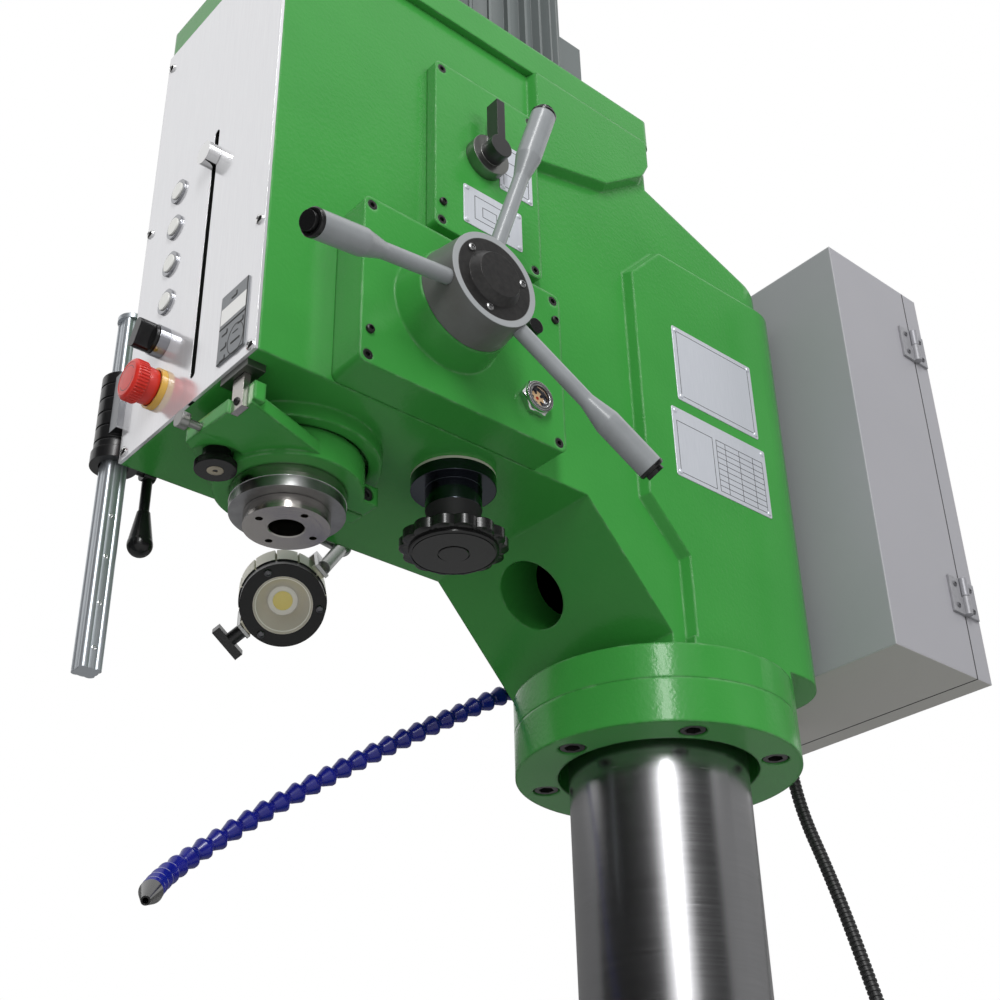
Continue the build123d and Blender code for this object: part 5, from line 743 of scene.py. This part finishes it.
# Painted shade: strokes and ticks along the raised keys' lower right edges, and the tall bar along the case's
# right edge.
marks = [on_panel(*MARK_STROKE, x, z) for x, z in READOUT_MARKS]
marks += [on_panel(*MARK_TICK, x + TICK_X, z + TICK_Z) for x, z in READOUT_MARKS]
marks += [on_panel(*bar) for bar in READOUT_BARS]
marks += [placed(turned(KEY_RING, count=48) * KEY_RING_SHAPE, KEY_RING_PLACE, FRONT)]
piece("readout_marks", marks, ink_and_shade, "frame")


# The gear box cover and the side of the head carry thin plates of bare sheet metal, held by rivets.
# Plain inked lines divide them. A dial on the cover selects the speed.
# Small socket screws hold the cover and the feed box.
GEAR_FACE = 128.0
BOX_FACE = 153.5
SIDE_FACE = 125.5
RIGHT = (1, 0, 0)
PLATE_THICK = 0.8
PLATE_CORNER = 2.5
PLATE_EDGE = 0.0005
PLATES = {
    "gear_diagram_plate": (GEAR_FACE, -354.0, -278.3, 1643.5, 1692.5, 4.0),
    "gear_upper_plate": (GEAR_FACE, -306.5, -262.0, 1713.0, 1777.0, 4.0),
    "side_upper_plate": (SIDE_FACE, -61.5, 66.0, 1564.0, 1661.0, 5.0),
    "side_lower_plate": (SIDE_FACE, -74.0, 72.5, 1466.0, 1551.0, 5.0),
}
ROLL_STRETCH = (1.0, 30.0, 1.0)
RIVET_PROFILE = [(2.7, 0), (2.7, 0.5), (2.0, 1.2), (0, 1.6)]
JACK_SCREWS = [(GEAR_FACE, -379.7, 1652.8), (BOX_FACE, -478.6, 1438.0), (BOX_FACE, -263.4, 1551.8)]
DIAL_RIM = 0.1405
INK_WIDTH = 0.7
INK_CORNER = INK_WIDTH / 2.2
INK_THICK = 0.12
INK_EDGE = 0.04
INK_COLUMNS = 8
DIAGRAM_FRAME = (-340.0, -296.0, 1654.0, 1683.0)
DIAGRAM_BOX = (-330.0, -312.0, 1661.0, 1673.0)
DIAGRAM_SHAFT = (-312.0, 1667.0, -303.0, 1667.0)
UPPER_FRAME = (-301.0, -267.5, 1718.5, 1771.5)
UPPER_ROWS = (1736.0, 1754.0)
CHART_FRAME = (-8.0, 66.0, 1471.0, 1534.0)
CHART_ROWS = np.linspace(1478.0, 1527.0, 8)
CHART_COLUMNS = (6.0, 28.0, 50.0)
NOTES_FRAME = (-68.0, -14.0, 1471.0, 1534.0)
BORDER_FRAME = (-55.5, 60.0, 1570.0, 1655.0)
tinplate = Finish("bare_plate", {"Metallic": 0.4, "Roughness": 0.36})
rolled = tinplate.grain(40.0, detail=3.0, stretch=ROLL_STRETCH)
tinplate.feed({"Base Color": tinplate.mix(rolled, rgb(196, 200, 208), rgb(214, 217, 224))})
tinplate.feed({"Normal": tinplate.rounded(PLATE_EDGE)})


def riveted(name, face, y0, y1, z0, z1, inset):
    """A plate on a face that looks to the right, with a rivet near each corner."""
    middle = (face, (y0 + y1) / 2, (z0 + z1) / 2)
    grids = [placed(plate(y1 - y0, z1 - z0, PLATE_CORNER, PLATE_THICK), middle, RIGHT)]
    dome = turned(RIVET_PROFILE, count=24)
    for y in (y0 + inset, y1 - inset):
        grids += [placed(dome, (face + PLATE_THICK, y, z), RIGHT) for z in (z0 + inset, z1 - inset)]
    piece(name, grids, tinplate, "frame")


for name, layout in PLATES.items():
    riveted(name, *layout)
jack_head = screw(radius=4.2, height=3.0, crown=0.4, sides=6, key=2.2)
jacks = [placed(jack_head, place, RIGHT) for place in JACK_SCREWS]
piece("jack_screws", jacks, blackened, "frame")
dial = Finish("dial_steel", {"Roughness": 0.34})
dial_rim = dial.axis("X") < DIAL_RIM
dial.feed({"Base Color": dial.mix(dial_rim, rgb(30, 30, 31), rgb(140, 141, 138)), "Metallic": dial_rim})
dial.feed({"Normal": dial.rounded(PLAIN_EDGE)})
dress(dial, "gear_selector")


def ruled(lines, face):
    """Thin ink lines on a plate that looks to the right, each given by its ends across and up."""
    grids = []
    for y0, z0, y1, z1 in lines:
        size = (abs(y1 - y0) + INK_WIDTH, abs(z1 - z0) + INK_WIDTH)
        middle = (face + PLATE_THICK, (y0 + y1) / 2, (z0 + z1) / 2)
        grids.append(placed(plate(*size, INK_CORNER, INK_THICK, INK_EDGE, INK_COLUMNS), middle, RIGHT))
    return grids


def boxed(y0, y1, z0, z1):
    """The four sides of a rectangle."""
    return [(y0, z0, y1, z0), (y0, z1, y1, z1), (y0, z0, y0, z1), (y1, z0, y1, z1)]


def gridded(frame_box, rows, columns):
    """A rectangle with lines across it at these heights and up it at these places."""
    y0, y1, z0, z1 = frame_box
    return boxed(*frame_box) + [(y0, z, y1, z) for z in rows] + [(y, z0, y, z1) for y in columns]


diagram = boxed(*DIAGRAM_FRAME) + boxed(*DIAGRAM_BOX) + [DIAGRAM_SHAFT]
chart = gridded(CHART_FRAME, CHART_ROWS, CHART_COLUMNS) + boxed(*NOTES_FRAME)
border = boxed(*BORDER_FRAME)
upper = gridded(UPPER_FRAME, UPPER_ROWS, ())
lines = ruled(diagram + upper, GEAR_FACE) + ruled(chart + border, SIDE_FACE)
piece("plate_lines", lines, ink_and_shade, "frame")


# The feed hub and its three levers are painted grey; each lever ends in a black bush with a button.
# A black cap closes the hub and is held by three bright button-head screws.
HUB_AXIS = (0.0, -0.3955, 1.493)
ROUND_X = (0.0, 1.0, 1.0)
HUB_RIM_R = 0.0405
HUB_RIM_X = 0.2184
HUB_SCREW_R = 33.5
HUB_SCREW_ANGLES = np.radians([19.0, 139.0, 259.0])
CAP_FACE = 218.8
LEVER_FOOT = np.array([200.3, -395.5, 1493.0])
LEVER_LENGTH = 213.0
LEVER_TILT = np.radians(11.0)
LEVER_TURNS = np.radians([77.4, 197.4, 317.4])
LEVER_EDGE = 0.0025
FINE_SPRAY_DEPTH = 0.00004
BUSH_PROFILE = [(8.6, -1.0), (12.2, -1.0), (12.2, 1.4), (11.2, 2.8), (9.6, 3.2), (8.7, 2.6), (8.6, -1.0)]
hub_paint = Finish("hub_grey_paint", {"Roughness": 0.34, "Specular IOR Level": 0.35})
hub_rim = (hub_paint.away(HUB_AXIS, ROUND_X) > HUB_RIM_R) * (hub_paint.axis("X") > HUB_RIM_X)
soiled = hub_paint.mix(hub_paint.grain(26.0, detail=4.0), rgb(78, 76, 72), rgb(112, 114, 115))
hub_paint.feed({"Base Color": hub_paint.mix(hub_rim, soiled, rgb(146, 149, 151))})
hub_paint.feed({"Normal": hub_paint.bump(hub_paint.grain(420.0), SPRAY_DEPTH, hub_paint.rounded(PLAIN_EDGE))})
dress(hub_paint, "feed_hub")
lever_paint = Finish("lever_grey_paint", {"Roughness": 0.24, "Specular IOR Level": 0.4})
handled = lever_paint.mix(lever_paint.grain(34.0, detail=5.0), rgb(122, 125, 127), rgb(146, 150, 153))
lever_paint.feed({"Base Color": handled})
lever_edge = lever_paint.rounded(LEVER_EDGE)
lever_paint.feed({"Normal": lever_paint.bump(lever_paint.grain(420.0), FINE_SPRAY_DEPTH, lever_edge)})
dress(lever_paint, "feed_levers")
bush = turned(BUSH_PROFILE)
bushes = []
for turn in LEVER_TURNS:
    out = np.array([np.sin(LEVER_TILT), np.cos(LEVER_TILT) * np.cos(turn), np.cos(LEVER_TILT) * np.sin(turn)])
    bushes.append(placed(bush, LEVER_FOOT + out * LEVER_LENGTH, out, RIGHT))
piece("lever_bushes", bushes, moulded, "feed_hub")
cap_head = screw(radius=3.8, height=1.2, crown=0.8, sides=6, key=2.0)
cap_screws = []
for turn in HUB_SCREW_ANGLES:
    y = HUB_AXIS[1] * 1000 + HUB_SCREW_R * np.cos(turn)
    z = HUB_AXIS[2] * 1000 + HUB_SCREW_R * np.sin(turn)
    cap_screws.append(placed(cap_head, (CAP_FACE, y, z), RIGHT))
piece("hub_screws", cap_screws, oiled, "feed_hub")


# The oil sight is a plated nut and ring round a small window, screwed into the side of the feed box.
# A star-shaped vane lies behind the window, and a black plug closes the filler hole above it.
SIGHT_AXIS = (0.0, -0.294, 1.446)
SIGHT_PETALS = 5
SIGHT_WINDOW_R = 0.0106
VANE_R = 0.0078
VANE_HUB_R = 0.0042
VANE_PIN_R = 0.0018
PETAL_EDGE = -0.25
PLUG_FOOT = 1.48
SIGHT_NUT = [
    (10.4, 0, 0), (15.7, 0, 1), (15.7, 4.4, 1), (15.7, 5.6, 0.4), (15.4, 6.2, 0), (14.6, 6.4, 0),
    (14.6, 8.4, 0), (13.8, 9.3, 0), (11.6, 9.3, 0), (10.9, 8.6, 0), (10.4, 7.0, 0), (10.4, 4.6, 0),
    (10.4, 0, 0),
]
NUT_SHARP = np.radians(18.0)
sight = Finish("oil_sight", {"Roughness": 0.1})
from_sight = sight.away(SIGHT_AXIS, ROUND_X)
window = from_sight < SIGHT_WINDOW_R
plug = sight.axis("Z") > PLUG_FOOT
swing = sight.axis("Z") - SIGHT_AXIS[2]
swing = swing.math("ARCTAN2", swing, sight.axis("Y") - SIGHT_AXIS[1])
petals = swing.math("COSINE", swing * SIGHT_PETALS) > PETAL_EDGE
vane = (from_sight < VANE_R) * petals.most(from_sight < VANE_HUB_R)
pane = sight.mix(vane, rgb(34, 34, 42), rgb(178, 150, 116))
pane = sight.mix(from_sight < VANE_PIN_R, pane, rgb(140, 40, 24))
sight.feed({"Base Color": sight.mix(plug, sight.mix(window, rgb(200, 200, 200), pane), rgb(26, 26, 27))})
sight.feed({"Metallic": (1.0 - window) * (1.0 - plug), "Normal": sight.rounded(SMALL_EDGE)})
dress(sight, "oil_fittings")


def hexed(rows, count=72):
    """A nut in millimetres: each row is a circle, drawn out by its share towards a hexagon round it."""
    angle, ring = circle(count)
    part = np.pi / 3
    corner = 1 / np.cos(angle % part - part / 2) - 1
    radius, height, share = np.array(rows, float).T[:, :, None]
    reach = radius * (1 + share * corner)
    return (reach[:, :, None] * ring + height[:, :, None] * np.array(UP)) / 1000


nut = placed(hexed(SIGHT_NUT), (BOX_FACE, SIGHT_AXIS[1] * 1000, SIGHT_AXIS[2] * 1000), RIGHT)
piece("sight_nut", [nut], chrome, "frame", NUT_SHARP)


# The work lamp is a finned cream casting with a black front ring, on a plated arm.
# Behind its rim lie a pale reflector disc and the board of its light-emitting diode.
LAMP_POINT = (-150.0, -357.0, 1338.0)
LAMP_AIM = (0.644, -0.377, -0.666)
LAMP_AXLE = (0.759, 0.404, 0.509)
LAMP_RIM = 0.0142
LAMP_WING = -0.0502
LAMP_COLUMNS = 64
LAMP_SCREW_R = 36.0
LAMP_SCREW_TURNS = np.radians([75.0, 195.0, 315.0])
REFLECTOR = [(0, -19.9), (15.9, -19.9), (29.3, -0.3), (28.6, -0.1), (27.6, -1.4), (15.4, -19.0), (0, -19.2)]
BOARD = [(0, -19.4), (14.6, -19.4), (14.6, -18.5), (14.2, -18.3), (10.4, -18.3), (10.0, -18.6), (0, -18.6)]
PHOSPHOR = [(0, -18.7), (9.7, -18.7), (9.7, -18.0), (9.0, -17.7), (0, -17.5)]
LENS_EDGE = [(26.2, -2.4), (27.0, -1.7), (28.0, -2.3), (27.0, -2.9), (26.2, -2.4)]
lamp_point = np.array(LAMP_POINT) / 1000
cream = Finish("lamp_enamel", {"Roughness": 0.36})
rim = cream.along(tuple(lamp_point), LAMP_AIM) > -LAMP_RIM
cream.feed({"Base Color": cream.mix(rim, rgb(224, 219, 200), rgb(26, 26, 27)), "Specular IOR Level": 0.3})
cream.feed({"Normal": cream.bump(cream.grain(600.0), FINE_SPRAY_DEPTH, cream.rounded(CAST_EDGE))})
dress(cream, "lamp_head")
satin = Finish("lamp_arm_metal", {"Roughness": 0.32})
wing = satin.along(tuple(lamp_point), LAMP_AXLE) < LAMP_WING
satin.feed({"Base Color": satin.mix(wing, rgb(168, 169, 168), rgb(24, 24, 25)), "Metallic": 1.0 - wing})
satin.feed({"Normal": satin.rounded(PLAIN_EDGE)})
dress(satin, "lamp_arm")
beige = Finish("lamp_reflector", {"Roughness": 0.4, "Coat Weight": 1.0, "Coat Roughness": 0.03})
beige.feed({"Base Color": beige.mix(beige.grain(60.0), rgb(196, 190, 176), rgb(206, 201, 188))})
board = Finish("lamp_board", {"Base Color": rgb(238, 236, 226), "Roughness": 0.4})
phosphor = Finish("lamp_phosphor", {"Base Color": rgb(238, 220, 130), "Roughness": 0.3})


def on_lamp(profile, finish, name):
    """A lathe shape on the lamp's axis; heights count from the rim's front, along the beam."""
    piece(name, [placed(turned(profile, LAMP_COLUMNS), LAMP_POINT, LAMP_AIM)], finish, "lamp_head")


on_lamp(REFLECTOR, beige, "lamp_disc")
on_lamp(BOARD, board, "lamp_board")
on_lamp(PHOSPHOR, phosphor, "lamp_phosphor")
on_lamp(LENS_EDGE, board, "lamp_lens_edge")
lamp_up = np.cross(LAMP_AIM, LAMP_AXLE)
rim_head = screw(radius=3.9, height=1.6, crown=0.4, sides=6, key=2.2)
lamp_screws = []
for turn in LAMP_SCREW_TURNS:
    spot = np.array(LAMP_POINT) + LAMP_SCREW_R * (np.cos(turn) * np.array(LAMP_AXLE) + np.sin(turn) * lamp_up)
    lamp_screws.append(placed(rim_head, spot, LAMP_AIM))
dark_screw = Finish("dark_screw", {"Metallic": 1.0, "Base Color": rgb(92, 92, 95), "Roughness": 0.28})
piece("lamp_screws", lamp_screws, dark_screw, "lamp_head")


# The bar of the spindle guard is extruded aluminium with small plated pins along its right side.
# It slides in a black plastic sleeve on the head's corner, and a clamp lever holds it.
GUARD_AXIS = (-0.141, -0.5547, 0.0)
SLEEVE_R = 0.0206
SLEEVE_BRACKET = 1.44
DRAW_STRETCH = (40.0, 40.0, 0.6)
PIN_PROFILE = [(0, -0.4), (2.3, -0.4), (2.3, 0.2), (1.7, 0.5), (1.1, 0.1), (0.9, -0.2), (0, -0.3)]
PIN_X = -130.5
PIN_Y = -555.2
PIN_HEIGHTS = (1228.0, 1270.8, 1317.0, 1358.7)
extruded = Finish("extruded_bar", {"Metallic": 0.7, "Specular IOR Level": 0.3})
drawn = extruded.grain(30.0, detail=3.0, stretch=DRAW_STRETCH)
extruded.feed({"Base Color": extruded.mix(drawn, rgb(158, 164, 170), rgb(198, 203, 208))})
extruded.feed({"Roughness": drawn.between(0.22, 0.42), "Normal": extruded.rounded(SMALL_EDGE)})
dress(extruded, "guard_bar")
pin = turned(PIN_PROFILE, count=20)
pins = [placed(pin, (PIN_X, PIN_Y, z), RIGHT) for z in PIN_HEIGHTS]
piece("guard_bar_pins", pins, chrome, "guard_bar")
collar = Finish("guard_clamp", {"Roughness": 0.28})
# Painted reflection: the sleeve's bracket is painted grey where its glossy black plastic mirrors the bright
# studio.
bracket = (collar.away(GUARD_AXIS, ROUND_Z) > SLEEVE_R) * (collar.axis("Z") > SLEEVE_BRACKET)
collar.feed({"Base Color": collar.mix(bracket, BLACK_PLASTIC, rgb(118, 120, 124))})
collar.feed({"Normal": collar.rounded(SMALL_EDGE)})
dress(collar, "guard_sleeve")


# The switch cabinet behind the head is folded sheet steel, powder coated grey, and painted lighter and warmer
# underneath: painted light with a dusty tint.
# Its door hangs on two hinges of cast zinc, each held by four small steel screws.
CABINET_GREY = rgb(156, 155, 160)
CABINET_SIDE = 201.0
HINGE_FACE = 204.0
HINGE_AXIS_Y = 292.3
HINGE_SCREW_Y = 14.0
HINGE_SCREW_Z = 13.0
HINGES = (1411.0, 1752.0)
LEAF_SKIN = 0.2
FOLD_R = 0.0026
FOLD_HIGHLIGHT_SHARE = 0.65
SEAM_HALF = 0.0011
ZINC_SHEEN = 0.35
CABINET_FOOT = 1.3153
powder = Finish("cabinet_powder", {"Roughness": 0.42, "Specular IOR Level": 0.3})
folded = powder.rounded(FOLD_R)
coat = powder.mix(powder.grain(4.0, detail=3.0), rgb(146, 146, 151), CABINET_GREY)
# Painted light: the underside is painted lighter, with a warm dusty tint.
coat = powder.mix(powder.axis("Z") < CABINET_FOOT, coat, rgb(176, 173, 170))
# Painted highlight: the rounded folds are painted pale.
coat = powder.mix(powder.edge(folded) * FOLD_HIGHLIGHT_SHARE, coat, rgb(222, 222, 226))
# Painted shade: a dark line along the gap between the box and its door.
seam_shade = abs(powder.axis("Y") - HINGE_AXIS_Y / 1000) < SEAM_HALF
hinge_leaf = powder.axis("X") > (CABINET_SIDE + LEAF_SKIN) / 1000
coat = powder.mix(hinge_leaf, powder.mix(seam_shade, coat, rgb(60, 60, 62)), rgb(152, 152, 157))
powder.feed({"Base Color": coat, "Metallic": hinge_leaf * ZINC_SHEEN})
powder.feed({"Normal": powder.bump(powder.grain(900.0), SPRAY_DEPTH, folded)})
dress(powder, "cabinet_box", "cabinet_door")
zinc = Finish("cast_zinc", {"Metallic": ZINC_SHEEN, "Roughness": 0.5})
zinc.feed({"Base Color": zinc.mix(zinc.grain(180.0, detail=3.0), rgb(138, 138, 142), rgb(166, 166, 170))})
zinc.feed({"Normal": zinc.rounded(PLAIN_EDGE)})
dress(zinc, "cabinet_hinges")
hinge_steel = Finish("hinge_screw_steel", {"Metallic": 0.6, "Roughness": 0.45})
hinge_steel.feed({"Base Color": rgb(108, 108, 112)})
hinge_head = screw(radius=3.4, height=1.0, crown=0.7, sides=4, key=1.5)
for side, body in ((-1, "frame"), (1, "cabinet_door")):
    y = HINGE_AXIS_Y + side * HINGE_SCREW_Y
    spots = [(HINGE_FACE, y, z + step) for z in HINGES for step in (-HINGE_SCREW_Z, HINGE_SCREW_Z)]
    heads = [placed(hinge_head, spot, RIGHT) for spot in spots]
    piece(f"hinge_screws_{body}", heads, hinge_steel, body)


# The table is a bare grey iron casting, its face ground and its slots milled.
# It turns on a pivot in the green arm, which a rack and a crank lift along the column.
SCRAPE_STRETCH = (1.0, 24.0, 1.0)
TABLE_EDGE = 0.002
iron = Finish("ground_iron", {"Metallic": 1.0})
scraped = iron.grain(30.0, detail=4.0, stretch=SCRAPE_STRETCH)
iron.feed({"Base Color": iron.mix(scraped, rgb(132, 132, 132), rgb(176, 176, 174))})
iron.feed({"Roughness": scraped.between(0.3, 0.46), "Normal": iron.rounded(TABLE_EDGE)})
dress(iron, "table_top")


# A ribbed black conduit runs from under the cabinet to the pump, and a blue segmented hose
# brings the coolant to the drill: moulded plastic links that push into each other.
CONDUIT_ROUTE = [
    (-12, 230, 1292), (-12, 230, 1234), (29, 229, 1118), (72, 224, 964), (117, 215, 800),
    (160, 203, 635), (190, 190, 510), (204, 181.5, 415), (205, 180, 359), (205, 180, 295),
]
CONDUIT_R = 7.0
CONDUIT_GROOVE_R = 5.9
CONDUIT_RIBS = 190
RIB_SHARES = np.array([0.0, 0.18, 0.3, 0.7, 0.82])
RIB_RADII = np.array([CONDUIT_GROOVE_R, CONDUIT_GROOVE_R, CONDUIT_R, CONDUIT_R, CONDUIT_GROOVE_R])
HOSE_ROUTE = [
    (-146, -4, 1355), (-150, -58, 1329), (-166, -140, 1279), (-187, -222, 1227), (-208, -296, 1175),
    (-224, -356, 1129), (-222, -404, 1090), (-195, -440, 1060), (-160, -463, 1040),
]
HOSE_PITCH = 18.5
HOSE_SHARP = np.radians(14.0)
LINK_SHARES = np.array([0.0, 0.02, 0.12, 0.24, 0.3, 0.74, 0.8, 0.98])
LINK_RADII = np.array([5.9, 8.4, 10.3, 10.4, 9.9, 6.8, 5.9, 5.9])
LINK_COLUMNS = 28
ROUTE_STEPS = 40
TANGENT_SHARE = 0.002


def nurbs_line(route):
    """Points along the smooth line that a route's control points give, in metres."""
    curve = bpy.data.curves.new("route", "CURVE")
    curve.dimensions = "3D"
    curve.resolution_u = ROUTE_STEPS
    spline = curve.splines.new("NURBS")
    spline.points.add(len(route) - 1)
    spline.points.foreach_set("co", np.insert(np.array(route) / 1000, 3, 1.0, axis=1).ravel())
    spline.order_u = 3
    spline.use_endpoint_u = True
    holder = bpy.data.objects.new("route", curve)
    mesh = bpy.data.meshes.new_from_object(holder)
    line = np.empty(len(mesh.vertices) * 3)
    mesh.vertices.foreach_get("co", line)
    bpy.data.objects.remove(holder)
    bpy.data.meshes.remove(mesh)
    bpy.data.curves.remove(curve)
    return line.reshape(-1, 3)


def reach_of(line):
    """Length along a line up to each of its points."""
    return np.append(0.0, np.cumsum(np.linalg.norm(np.diff(line, axis=0), axis=1)))


def carried(line, shares, radii, fixed, count=20):
    """A closed tube: circles of given radii in millimetres, square to a line at shares of its length."""
    reach = reach_of(line)

    def at(places):
        """Points of the line at shares of its length."""
        return np.stack([np.interp(places * reach[-1], reach, axis) for axis in line.T], axis=-1)

    places = at(shares)
    along = at(shares + TANGENT_SHARE) - at(shares - TANGENT_SHARE)
    along /= np.linalg.norm(along, axis=1)[:, None]
    side = np.cross(along, fixed)
    side /= np.linalg.norm(side, axis=1)[:, None]
    up = np.cross(along, side)
    angle = circle(count)[0][:, None]
    spokes = np.cos(angle) * side[:, None] + np.sin(angle) * up[:, None]
    radii = np.concatenate([[0.0], radii, [0.0]])[:, None, None] / 1000
    spokes = np.concatenate([spokes[:1], spokes, spokes[-1:]])
    places = np.concatenate([places[:1], places, places[-1:]])
    return places[:, None] + radii * spokes


rubber = Finish("conduit_rubber", {"Roughness": 0.45})
rubber.feed({"Base Color": rubber.mix(rubber.grain(120.0, detail=3.0), rgb(24, 24, 25), rgb(38, 38, 39))})
conduit_line = nurbs_line(CONDUIT_ROUTE)
shares = ((np.arange(CONDUIT_RIBS)[:, None] + RIB_SHARES) / CONDUIT_RIBS).ravel()
tube = carried(conduit_line, shares, np.tile(RIB_RADII, CONDUIT_RIBS), REAR)
conduit = piece("ribbed_conduit", [tube], rubber, "frame")
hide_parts("conduit")

blue = Finish("hose_plastic", {"Roughness": 0.22})
blue.feed({"Base Color": blue.mix(blue.grain(70.0, detail=3.0), rgb(12, 15, 108), rgb(22, 28, 146))})
hose_line = nurbs_line(HOSE_ROUTE)
links = int(reach_of(hose_line)[-1] * 1000 / HOSE_PITCH)
shares = ((np.arange(links)[:, None] + LINK_SHARES) / links).ravel()
tube = carried(hose_line, shares, np.tile(LINK_RADII, links), RIGHT, LINK_COLUMNS)
hose = piece("segmented_hose", [tube], blue, "frame", HOSE_SHARP)
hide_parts("coolant_hose")
